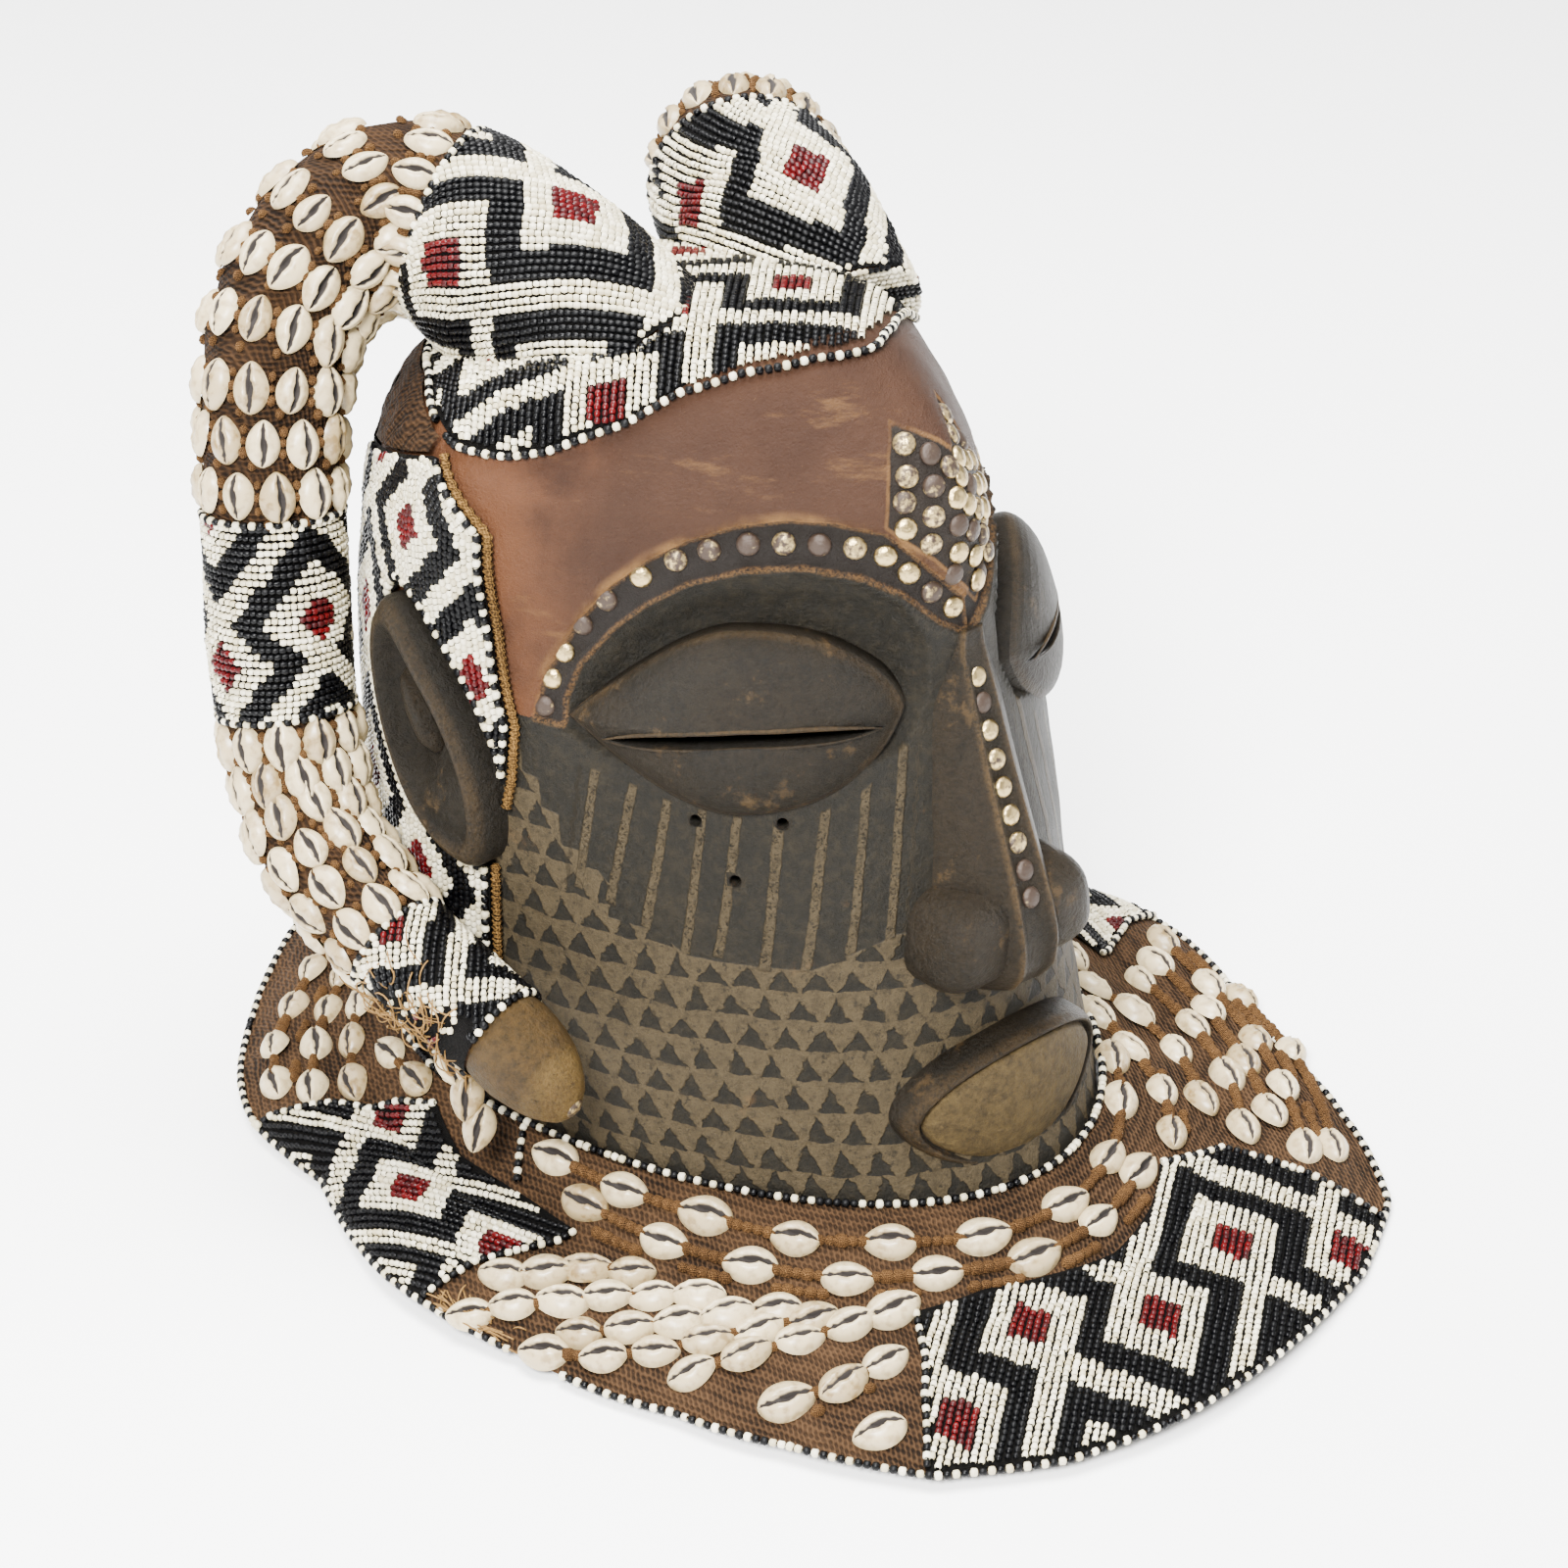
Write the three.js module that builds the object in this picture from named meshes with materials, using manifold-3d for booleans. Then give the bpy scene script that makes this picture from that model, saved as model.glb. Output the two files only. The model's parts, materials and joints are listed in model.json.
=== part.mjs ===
// Carved wooden helmet mask with beaded cap, two stuffed trunks and a raffia cloth collar.
// Millimetres, +Z up, the face looks along -Y, the mask's own right side is -X.
import * as THREE from 'three';
import Module from 'manifold-3d';
import { mergeVertices } from 'three/addons/utils/BufferGeometryUtils.js';

const wasm = await Module();
wasm.setup();

// Gap left between pieces that touch.
const GAP = 0.3;

// Head plan loops, bottom to top: height, front, back, half width, where it is widest,
// and how pointed the front is (2 is an ellipse, 1 is a wedge).
const HEAD = [
  { z: 0, front: -181, back: 150, half: 136, wide: 30, prow: 1.7, edge: 0.5 },
  { z: 38, front: -178, back: 152, half: 136, wide: 30, prow: 1.7, edge: 0.5 },
  { z: 60, front: -168, back: 155, half: 136, wide: 30, prow: 1.7, edge: 0.5 },
  { z: 100, front: -155, back: 160, half: 136, wide: 30, prow: 1.65, edge: 0.5 },
  { z: 160, front: -148, back: 168, half: 135, wide: 30, prow: 1.5, edge: 0.5 },
  { z: 210, front: -137, back: 170, half: 133, wide: 30, prow: 1.4, edge: 0.5 },
  { z: 240, front: -131, back: 168, half: 132, wide: 30, prow: 1.28, edge: 0.52 },
  { z: 286, front: -130.5, back: 160, half: 128, wide: 25, prow: 1.2, edge: 0.6 },
  { z: 320, front: -132.5, back: 142, half: 122, wide: 18, prow: 1.15, edge: 0.75 },
  { z: 343, front: -124, back: 116, half: 107, wide: 8, prow: 1.12, edge: 0.84 },
  { z: 357, front: -109.5, back: 88, half: 88, wide: -2, prow: 1.15, edge: 0.84 },
  { z: 366, front: -92, back: 60, half: 66, wide: -12, prow: 1.2, edge: 0.74 },
  { z: 372, front: -74, back: 28, half: 43, wide: -24, prow: 1.4, edge: 0.62 },
  { z: 375, front: -56, back: -8, half: 20, wide: -34, prow: 1.6, edge: 0.52 },
];
// The crown leans a little to the mask's right, and its left half is narrower.
const LEAN = [[260, 320, 375], [0, -5, -8]];
const LEFT_SHARE = [[240, 290, 343], [1, 0.92, 0.85]];
const CROWN_TOP = 375;
const WALL = 15;
const CROWN_INSET = 2;
const NECK_Z = 38;
const EYE = { s: 0.222, z: 239, half: 0.152, tall: 36, out: 10, foot: -6 };
const SOCKET_DEEP = 10;
const BROW_STEP = 2.8;
const SLIT_TALL = 4;
const CHEEK_HOLE = 5;

// Trunk centrelines from the crown to the end of the cloth, and their radius at the same points.
// The left one arches lower and hangs further back.
const TRUNK_PATH = {
  right: [[-46, 4, 338], [-50, 33, 353], [-57, 66, 368], [-64, 100, 381], [-79, 119, 385], [-101, 126, 378],
    [-122, 127, 361], [-136, 123, 341], [-144, 118, 317], [-150, 113, 292], [-154, 108, 262], [-158, 104, 230],
    [-161, 98, 198], [-164, 87, 170], [-169, 68, 151], [-169, 41, 137], [-167, 14, 125], [-163, -12, 115],
    [-159, -34, 107]],
  left: [[46, 0, 336], [50, 24, 350], [57, 48, 363], [65, 73, 373], [80, 91, 373], [99, 103, 362],
    [117, 110, 345], [131, 113, 322], [141, 113, 298], [149, 112, 272], [156, 111, 245], [161, 111, 220],
    [166, 110, 195], [169, 107, 165], [171, 100, 138], [172, 90, 116], [172, 76, 102], [171, 60, 95],
    [169, 42, 92]],
};
const TRUNK_RADIUS = [39, 40, 40, 38, 35, 32.5, 30, 28, 27, 26.5, 26.5, 27, 26, 25, 23.5, 22, 21, 20.5, 19.5];
const SLEEVE_THICK = 3;
const TRUNK_SIDES = 12;
const COWRIE_TALL = 6;

const COLOURS = {
  wood: [0x3b2f28, 0.55], cloth: [0x8a6238, 0.95], beads: [0xd9d4c8, 0.4], tip: [0x7a5636, 0.6],
};

const clamp = (v, a, b) => Math.min(b, Math.max(a, v));
const mix = (a, b, t) => a + (b - a) * t;
const smooth = (a, b, v) => { const t = clamp((v - a) / (b - a), 0, 1); return t * t * (3 - 2 * t); };
const line = (xs, ys, v) => {
  if (v <= xs[0]) return ys[0];
  for (let i = 1; i < xs.length; i++) {
    if (v <= xs[i]) return mix(ys[i - 1], ys[i], (v - xs[i - 1]) / (xs[i] - xs[i - 1]));
  }
  return ys[ys.length - 1];
};

// Plan loop of the head at a height.
function headLoop(z) {
  const zs = HEAD.map((h) => h.z);
  const at = (key) => line(zs, HEAD.map((h) => h[key]), z);
  return { front: at('front'), back: at('back'), half: at('half'), wide: at('wide'), prow: at('prow'), edge: at('edge') };
}

// Half of the loop from the front median (s = 0) to the back median (s = 1), even in length.
const halfLoops = new Map();
const LOOP_STEPS = 160;
function withLength(pts) {
  let length = 0;
  pts.forEach((p, i) => {
    if (i) length += Math.hypot(p.x - pts[i - 1].x, p.y - pts[i - 1].y);
    p.length = length;
  });
  return { pts, length };
}
function alongLoop({ pts, length }, share) {
  const want = clamp(share, 0, 1) * length;
  let i = 1;
  while (i < pts.length - 1 && pts[i].length < want) i++;
  const t = (want - pts[i - 1].length) / Math.max(1e-9, pts[i].length - pts[i - 1].length);
  return { x: mix(pts[i - 1].x, pts[i].x, t), y: mix(pts[i - 1].y, pts[i].y, t) };
}
// Half of the head's plan at a height, from the front round to the back, its bends softened.
function halfLoop(z) {
  const key = Math.round(z * 10);
  if (halfLoops.has(key)) return halfLoops.get(key);
  const h = headLoop(z);
  const raw = withLength(Array.from({ length: 241 }, (_, i) => {
    const a = (Math.PI * i) / 240;
    const t = Math.abs(Math.cos(a));
    const ahead = a < Math.PI / 2;
    const y = ahead ? h.wide - (h.wide - h.front) * t : h.wide + (h.back - h.wide) * t;
    const x = h.half * Math.max(0, 1 - t ** (ahead ? h.prow : 2)) ** (ahead ? h.edge : 0.5);
    return { x, y };
  }));
  const even = Array.from({ length: LOOP_STEPS + 1 }, (_, i) => alongLoop(raw, i / LOOP_STEPS));
  const reach = Math.round((line([240, 300], [5, 24], z) / raw.length) * LOOP_STEPS);
  const soft = even.map((_, i) => {
    let x = 0;
    let y = 0;
    let sum = 0;
    for (let k = -reach; k <= reach; k++) {
      const j = i + k;
      const p = even[j < 0 ? -j : j > LOOP_STEPS ? 2 * LOOP_STEPS - j : j];
      const weight = reach + 1 - Math.abs(k);
      x += weight * (j < 0 || j > LOOP_STEPS ? -p.x : p.x);
      y += weight * p.y;
      sum += weight;
    }
    return { x: x / sum, y: y / sum };
  });
  const loop = withLength(soft);
  halfLoops.set(key, loop);
  return loop;
}

// Point of the bare head at loop place s (negative s is the mask's right side) and height z.
function headPoint(s, z) {
  const { x, y } = alongLoop(halfLoop(z), Math.abs(s));
  return new THREE.Vector3(x * (s > 0 ? line(...LEFT_SHARE, z) : -1) + line(...LEAN, z), y, z);
}

// Outward direction of the bare head there.
function headOut(s, z) {
  const e = 0.012;
  const side = Math.sign(s || 1);
  const a = Math.abs(s);
  const mirror = (v) => (v < 0 ? -side * -v : side * v);
  const p0 = a - e < 0 ? headPoint(-side * (e - a), z) : headPoint(mirror(a - e), z);
  const p1 = a + e > 1 ? headPoint(-side * (2 - a - e), z) : headPoint(mirror(a + e), z);
  const along = p1.sub(p0);
  const low = headPoint(s, Math.max(0, z - 3));
  const up = headPoint(s, Math.min(CROWN_TOP, z + 3)).sub(low);
  const n = new THREE.Vector3().crossVectors(along, up).normalize();
  return side > 0 ? n : n.negate();
}

// Height of the arched ledge where the forehead steps down to the brow, by place.
function browLine(s) {
  return line([0, 0.03, 0.09, 0.2, 0.29, 0.36, 0.4, 0.418], [286, 312, 321, 320, 309, 288, 262, 222], s);
}
// Point that stands off the bare head by a lift, on the side asked for.
function standOff(side, s, z, lift) {
  return headPoint(side * s, z).addScaledVector(headOut(side * s, z), lift);
}
const asRow = (points) => points.map((p) => [p.x, p.y, p.z]);

function toManifold(points, triangles) {
  return new wasm.Manifold(new wasm.Mesh({
    numProp: 3,
    vertProperties: new Float32Array(points.flat()),
    triVerts: new Uint32Array(triangles.flat()),
  }));
}

// The largest body of a cut solid, without slivers left by the cut.
function largest(manifold) {
  return manifold.decompose().sort((a, b) => b.volume() - a.volume())[0];
}

// Closed body from rings that all have the same number of points, each capped by its middle.
function loft(rings, capLow = true, capHigh = true) {
  const n = rings[0].length;
  const pts = rings.flat().map((p) => (Array.isArray(p) ? p : [p.x, p.y, p.z]));
  const tris = [];
  for (let j = 0; j < rings.length - 1; j++) {
    for (let i = 0; i < n; i++) {
      const a = j * n + i;
      const b = j * n + ((i + 1) % n);
      tris.push([a, b, b + n], [a, b + n, a + n]);
    }
  }
  const middle = (row) => [0, 1, 2].map((k) => row.reduce((t, p) => t + p[k], 0) / row.length);
  if (capLow) {
    const m = pts.push(middle(pts.slice(0, n))) - 1;
    for (let i = 0; i < n; i++) tris.push([m, (i + 1) % n, i]);
  }
  if (capHigh) {
    const o = (rings.length - 1) * n;
    const m = pts.push(middle(pts.slice(o, o + n))) - 1;
    for (let i = 0; i < n; i++) tris.push([m, o + i, o + ((i + 1) % n)]);
  }
  return { pts, tris };
}
function loftSolid(rings) {
  const { pts, tris } = loft(rings);
  let m = toManifold(pts, tris);
  if (m.volume() < 0) m = toManifold(pts, tris.map(([a, b, c]) => [a, c, b]));
  return m;
}
// Closed ring body: outer rings and inner rings joined at both ends.
function tubeSolid(rings) {
  const n = rings[0].length;
  const pts = rings.flat().map((p) => [p.x, p.y, p.z]);
  const tris = [];
  for (let j = 0; j < rings.length; j++) {
    const k = (j + 1) % rings.length;
    for (let i = 0; i < n; i++) {
      const i1 = (i + 1) % n;
      tris.push([j * n + i, j * n + i1, k * n + i1], [j * n + i, k * n + i1, k * n + i]);
    }
  }
  let m = toManifold(pts, tris);
  if (m.volume() < 0) m = toManifold(pts, tris.map(([a, b, c]) => [a, c, b]));
  return m;
}

// Closed sheet from a grid of outer points and the matching inner points.
function sheetSolid(outer, inner) {
  const rows = outer.length;
  const cols = outer[0].length;
  const pts = [...outer.flat(), ...inner.flat()].map((p) => [p.x, p.y, p.z]);
  const o = (r, c) => r * cols + c;
  const q = (r, c) => rows * cols + r * cols + c;
  const tris = [];
  const quad = (a, b, c, d) => tris.push([a, b, c], [a, c, d]);
  for (let r = 0; r < rows - 1; r++) {
    for (let c = 0; c < cols - 1; c++) {
      quad(o(r, c), o(r, c + 1), o(r + 1, c + 1), o(r + 1, c));
      quad(q(r, c), q(r + 1, c), q(r + 1, c + 1), q(r, c + 1));
    }
    quad(o(r, 0), o(r + 1, 0), q(r + 1, 0), q(r, 0));
    quad(o(r, cols - 1), q(r, cols - 1), q(r + 1, cols - 1), o(r + 1, cols - 1));
  }
  for (let c = 0; c < cols - 1; c++) {
    quad(o(0, c), q(0, c), q(0, c + 1), o(0, c + 1));
    quad(o(rows - 1, c), o(rows - 1, c + 1), q(rows - 1, c + 1), q(rows - 1, c));
  }
  let m = toManifold(pts, tris);
  if (m.volume() < 0) m = toManifold(pts, tris.map(([a, b, c]) => [a, c, b]));
  return m;
}

function toMesh(manifold, name, look) {
  const raw = manifold.getMesh();
  const geometry = new THREE.BufferGeometry();
  const xyz = new Float32Array(raw.numVert * 3);
  for (let i = 0; i < raw.numVert; i++) {
    for (let k = 0; k < 3; k++) xyz[i * 3 + k] = raw.vertProperties[i * raw.numProp + k];
  }
  geometry.setAttribute('position', new THREE.BufferAttribute(xyz, 3));
  geometry.setIndex([...raw.triVerts]);
  const merged = mergeVertices(geometry, 1e-4);
  merged.computeVertexNormals();
  const [color, roughness] = COLOURS[look];
  const mesh = new THREE.Mesh(merged, new THREE.MeshStandardMaterial({ color, roughness, metalness: 0 }));
  mesh.name = name;
  return mesh;
}

// The head as a solid, grown by an offset; detail sets how many points go round it.
function headSolid(grow, sides, heights) {
  const rings = heights.map((z) => {
    const ring = [];
    const place = (s) => {
      ring.push(headPoint(s, z).addScaledVector(headOut(s, z), grow - (z > 352 ? CROWN_INSET : 0)));
    };
    for (const s of sides) place(s);
    for (const s of [...sides].reverse()) if (s > 0 && s < 1) place(-s);
    return ring.map((p) => [p.x, p.y, p.z]);
  });
  return loftSolid(rings);
}
const evenSides = (n) => Array.from({ length: n + 1 }, (_, i) => i / n);

const HEAD_SIDES = [0, 0.045, 0.095, 0.15, 0.21, 0.28, 0.35, 0.43, 0.52, 0.63, 0.75, 0.88, 1];
const HEAD_HEIGHTS = [0, 40, 62, 98, 150, 205, 245, 286, 320, 343, 358, 367, 373];
function makeHelmet() {
  let helmet = headSolid(0, HEAD_SIDES, HEAD_HEIGHTS);
  for (const side of [-1, 1]) helmet = helmet.subtract(makeBrowStep(side)).subtract(makeSocket(side));
  helmet = helmet.add(makeNose()).add(makeMouth());
  for (const side of [-1, 1]) helmet = helmet.add(makeEye(side)).add(makeEar(side));
  const hollowHeights = [-1, 110, 200, 280, 320, 342, 356];
  const rings = hollowHeights.map((z) => {
    const ring = [];
    const place = (s) => {
      const zz = Math.max(0, z);
      ring.push(headPoint(s, zz).addScaledVector(headOut(s, zz), -WALL));
    };
    for (const s of evenSides(9)) place(s);
    for (const s of evenSides(9).reverse()) if (s > 0 && s < 1) place(-s);
    return ring.map((p) => [p.x, p.y, z < 0 ? -1 : p.z]);
  });
  helmet = helmet.subtract(loftSolid(rings));
  for (const side of [-1, 1]) {
    helmet = helmet.subtract(makeSlit(side));
    for (const [s, z] of [[0.262, 198], [0.185, 200], [0.232, 175]]) {
      helmet = helmet.subtract(makeHole(side * s, z));
    }
  }
  return largest(helmet.simplify(0.35));
}

// Shallow cut below the ledge, fading out on the cheek.
function makeBrowStep(side) {
  const places = [-0.012, 0.045, 0.095, 0.15, 0.21, 0.28, 0.35, 0.4, 0.418];
  const grid = (outer) => places.map((s) => [0, 0.3, 0.65, 1].map((t) => {
    const top = browLine(Math.abs(s));
    const z = mix(Math.min(206, top - 4), top, t);
    return standOff(side, s, z, outer ? 10 : mix(0.6, -BROW_STEP, Math.min(1, t * 1.6)));
  }));
  return sheetSolid(grid(true), grid(false));
}

// Hollow under the brow that the eye stands in.
const SOCKET = [[0.398, 228], [0.385, 248], [0.355, 268], [0.31, 284], [0.25, 294], [0.18, 298], [0.115, 295],
  [0.068, 284], [0.05, 264], [0.055, 244], [0.085, 228], [0.15, 219], [0.24, 214], [0.33, 219]];
function makeSocket(side) {
  const ring = (shrink, lift) => asRow(SOCKET.map(([s, z]) => standOff(side,
    mix(s, EYE.s - 0.02, shrink), mix(z, 258, shrink), lift)));
  return loftSolid([ring(0, 12), ring(0, 0), ring(0.2, -SOCKET_DEEP * 0.8), ring(0.55, -SOCKET_DEEP)]);
}

// Eye: a bulging pointed oval like a coffee bean.
function eyeOutline(a, scale) {
  const c = Math.cos(a);
  const tall = EYE.tall * Math.abs(Math.sin(a)) ** 1.1 * Math.sign(Math.sin(a));
  const slope = 7 * c;
  return [EYE.s + EYE.half * scale * -c, EYE.z + scale * (tall + slope) - 1];
}
function makeEye(side) {
  const steps = 14;
  const rings = [[1, -16], [1, EYE.foot + 3], [0.92, EYE.out * 0.45], [0.74, EYE.out * 0.82], [0.4, EYE.out]].map(([scale, lift]) => asRow(Array.from({ length: steps }, (_, i) => {
    const [s, z] = eyeOutline((2 * Math.PI * i) / steps, scale);
    return standOff(side, s, z, lift);
  })));
  return loftSolid(rings);
}

// Straight nose: a wedge that deepens downward, with a flat strip along its ridge.
const NOSE = [
  { z: 262, base: 15, ridge: 8, front: -131, foot: -120 },
  { z: 245, base: 23, ridge: 9, front: -137, foot: -116 },
  { z: 214, base: 27, ridge: 10, front: -149, foot: -118 },
  { z: 178, base: 31, ridge: 11, front: -164, foot: -122 },
  { z: 162, base: 37, ridge: 13, front: -170, foot: -126 },
  { z: 148, base: 40, ridge: 15, front: -173, foot: -130 },
  { z: 132, base: 37, ridge: 14, front: -170, foot: -134 },
  { z: 122, base: 27, ridge: 9, front: -160, foot: -138 },
];
function makeNose() {
  const rings = [...NOSE].reverse().map((n) => {
    const side = mix(n.front, n.foot, 0.35);
    const half = [[-n.base, n.foot], [-n.base * 0.93, mix(n.front, n.foot, 0.62)], [-mix(n.ridge, n.base, 0.5), side],
      [-n.ridge, n.front]];
    const full = [...half, ...half.map(([x, y]) => [-x, y]).reverse()];
    return full.map(([x, y]) => [x, y, n.z]);
  });
  return loftSolid(rings);
}

// Mouth: a pointed oval that stands off the lower face, with a bevelled rim and a domed inside.
const MOUTH = { z: 75, half: 55, tall: 29, steps: 14 };
function makeMouth() {
  const ring = (grow, lift) => {
    const row = [];
    for (let i = 0; i < MOUTH.steps; i++) {
      const a = (2 * Math.PI * i) / MOUTH.steps;
      const c = Math.cos(a);
      const x = grow * MOUTH.half * c;
      const z = MOUTH.z + grow * MOUTH.tall * Math.sign(Math.sin(a)) * Math.abs(Math.sin(a)) ** 1.15;
      const face = -158 + 0.0052 * x * x;
      row.push([x, face - lift, z]);
    }
    return row;
  };
  return loftSolid([ring(1, -10), ring(1, 7), ring(0.93, 13), ring(0.85, 13), ring(0.8, 10), ring(0.72, 13.5), ring(0.4, 15)]);
}

// Ear: a leaf that leans forward at its foot, hollowed above and flat below.
const EAR = { s: 0.517, z: 211, long: 54, wide: 23, lean: 0.46, out: 17 };
function earPoint(side, along, across, lift) {
  const loop = halfLoop(EAR.z).length;
  const u = along * Math.sin(EAR.lean) + across * Math.cos(EAR.lean);
  const v = along * Math.cos(EAR.lean) - across * Math.sin(EAR.lean);
  return headPoint(side * (EAR.s + u / loop), EAR.z + v).addScaledVector(headOut(side * EAR.s, EAR.z), lift);
}
function earRing(side, steps, scale, lift, shift, grow) {
  return asRow(Array.from({ length: steps }, (_, i) => {
    const a = (2 * Math.PI * i) / steps;
    const wide = Math.sign(Math.sin(a)) * Math.abs(Math.sin(a)) ** 1.2;
    return earPoint(side, (shift || 0) + (EAR.long * scale + (grow || 0)) * Math.cos(a),
      (EAR.wide * scale + (grow || 0)) * wide, lift);
  }));
}
function makeEar(side) {
  const leaf = loftSolid([earRing(side, 14, 1, -5), earRing(side, 14, 1.02, EAR.out * 0.7),
    earRing(side, 14, 0.84, EAR.out)]);
  const pocket = loftSolid([earRing(side, 10, 0.36, 4, 12), earRing(side, 10, 0.68, EAR.out + 6, 13)]);
  const fold = loftSolid([earRing(side, 6, 0.3, 2, 4), earRing(side, 6, 0.12, EAR.out * 0.75, 6)]);
  return leaf.subtract(pocket).add(fold);
}

function makeSlit(side) {
  const rings = [-40, 24].map((lift) => [[0.09, -0.1], [0.222, -SLIT_TALL / 2], [0.345, -0.1], [0.345, 0.1],
    [0.222, SLIT_TALL / 2], [0.09, 0.1]].map(([s, dz]) => {
    const z = mix(237, 229, (s - 0.09) / 0.255) + dz;
    const p = headPoint(side * s, z).addScaledVector(headOut(side * EYE.s, EYE.z), lift);
    return [p.x, p.y, z];
  }));
  return loftSolid(rings);
}

function makeHole(s, z) {
  const out = headOut(s, z);
  const across = new THREE.Vector3(-out.y, out.x, 0).normalize();
  const up = new THREE.Vector3().crossVectors(out, across);
  const rings = [-30, 12].map((lift) => Array.from({ length: 6 }, (_, i) => {
    const a = (2 * Math.PI * i) / 6;
    const p = headPoint(s, z).addScaledVector(out, lift)
      .addScaledVector(across, (CHEEK_HOLE / 2) * Math.cos(a)).addScaledVector(up, (CHEEK_HOLE / 2) * Math.sin(a));
    return [p.x, p.y, p.z];
  }));
  return loftSolid(rings);
}

// Cap edge: how low the beaded cap comes, by place round the head.
function capEdge(s) {
  return line([0, 0.09, 0.24, 0.32, 0.43, 0.54, 0.6, 0.68, 0.8, 1], [363, 362, 358, 350, 336, 328, 332, 337, 334, 330],
    Math.abs(s));
}
const CAP_THICK = 3.3;
const CAP_LIFT = 2.9;
const CAP_STEPS = 13;
function capBody(lift, drop) {
  const sides = evenSides(CAP_STEPS);
  const rings = [[0, -14], [0, lift], [0.2, lift], [0.42, lift], [0.68, lift], [1, lift]].map(([t, out]) => {
    const ring = [];
    const place = (s) => {
      const z = mix(capEdge(s) - (t ? 0 : drop), CROWN_TOP - 1, t ** 0.75);
      ring.push(headPoint(s, z).addScaledVector(headOut(s, z), out));
    };
    for (const s of sides) place(s);
    for (const s of [...sides].reverse()) if (s > 0 && s < 1) place(-s);
    return ring.map((p) => [p.x, p.y, p.z]);
  });
  return loftSolid(rings);
}
let capClear = null;
function clearOfCap(solid) {
  if (!capClear) {
    capClear = capBody(CAP_LIFT + CAP_THICK + GAP, 0.6)
      .add(headSolid(-2, evenSides(10), [180, 240, 290, 325, 345, 360, 372]));
  }
  return largest(solid.subtract(capClear));
}
// Trunks also stay off the cloth beside the cap.
let headClear = null;
function clearOfHead(solid) {
  headClear ??= headSolid(SHEET_LIFT + PANEL_THICK + 2 * GAP, evenSides(CAP_STEPS), [240, 286, 320, 343, 358, 367, 373]);
  return clearOfCap(solid.subtract(headClear));
}
function makeCap() {
  const sides = evenSides(CAP_STEPS);
  const rings = (lift) => [0, 0.2, 0.42, 0.68, 1].map((t) => {
    const at = (s) => {
      const z = mix(capEdge(s), CROWN_TOP - 1, t ** 0.75);
      return headPoint(s, z).addScaledVector(headOut(s, z), lift);
    };
    return [...sides.map(at), ...[...sides].reverse().filter((s) => s > 0 && s < 1).map((s) => at(-s))];
  });
  const outer = rings(CAP_LIFT + CAP_THICK);
  const inner = rings(CAP_LIFT);
  const n = outer[0].length;
  const all = [...outer, ...inner.reverse()].flat().map((p) => [p.x, p.y, p.z]);
  const o = 4 * n;
  const peak = (from) => [0, 1, 2].map((k) => all.slice(from, from + n).reduce((t, p) => t + p[k], 0) / n);
  const pts = [...all, peak(o), peak(o + n)];
  const tris = [];
  for (let j = 0; j < 10; j++) {
    const k = (j + 1) % 10;
    if (j === 4) continue;
    for (let i = 0; i < n; i++) {
      const i1 = (i + 1) % n;
      tris.push([j * n + i, j * n + i1, k * n + i1], [j * n + i, k * n + i1, k * n + i]);
    }
  }
  for (let i = 0; i < n; i++) {
    const i1 = (i + 1) % n;
    tris.push([o + i, o + i1, 10 * n], [o + n + i1, o + n + i, 10 * n + 1]);
  }
  return toManifold(pts, tris);
}

// Smooth curve through the trunk points, with a frame carried along it.
function trunkLine(side) {
  const pts = TRUNK_PATH[side < 0 ? 'right' : 'left'].map(([x, y, z]) => new THREE.Vector3(x, y, z));
  const curve = new THREE.CatmullRomCurve3(pts, false, 'centripetal');
  const radius = (u) => line(TRUNK_RADIUS.map((_, i) => i), TRUNK_RADIUS, u * (TRUNK_RADIUS.length - 1));
  return { curve, radius };
}
function trunkRings(side, places, count, grow, turn) {
  const { curve, radius } = trunkLine(side);
  const steps = 180;
  const frames = [];
  let normal = new THREE.Vector3(-side, 0, 0);
  for (let i = 0; i <= steps; i++) {
    const tangent = curve.getTangent(i / steps).normalize();
    normal = normal.clone().addScaledVector(tangent, -normal.dot(tangent)).normalize();
    frames.push({ tangent, normal: normal.clone(), binormal: new THREE.Vector3().crossVectors(tangent, normal) });
  }
  return places.map((u, row) => {
    const f = frames[Math.round(clamp(u, 0, 1) * steps)];
    const centre = curve.getPoint(clamp(u, 0, 1));
    return Array.from({ length: count }, (_, i) => {
      const a = (2 * Math.PI * i) / count + (turn || 0);
      const r = radius(u) + (typeof grow === 'function' ? grow(u, row, i) : grow);
      return centre.clone().addScaledVector(f.normal, r * Math.cos(a))
        .addScaledVector(f.binormal, r * Math.sin(a));
    });
  });
}

// Where the beaded sleeves lie along the trunk (0 at the crown, 1 at the end of the cloth).
const BASE_SLEEVE = [0.0, 0.172];
const MIDDLE_BAND = [0.52, 0.662];
const TIP_SLEEVE = [0.85, 0.972];
const spread = (a, b, n) => Array.from({ length: n + 1 }, (_, i) => mix(a, b, i / n));

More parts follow.
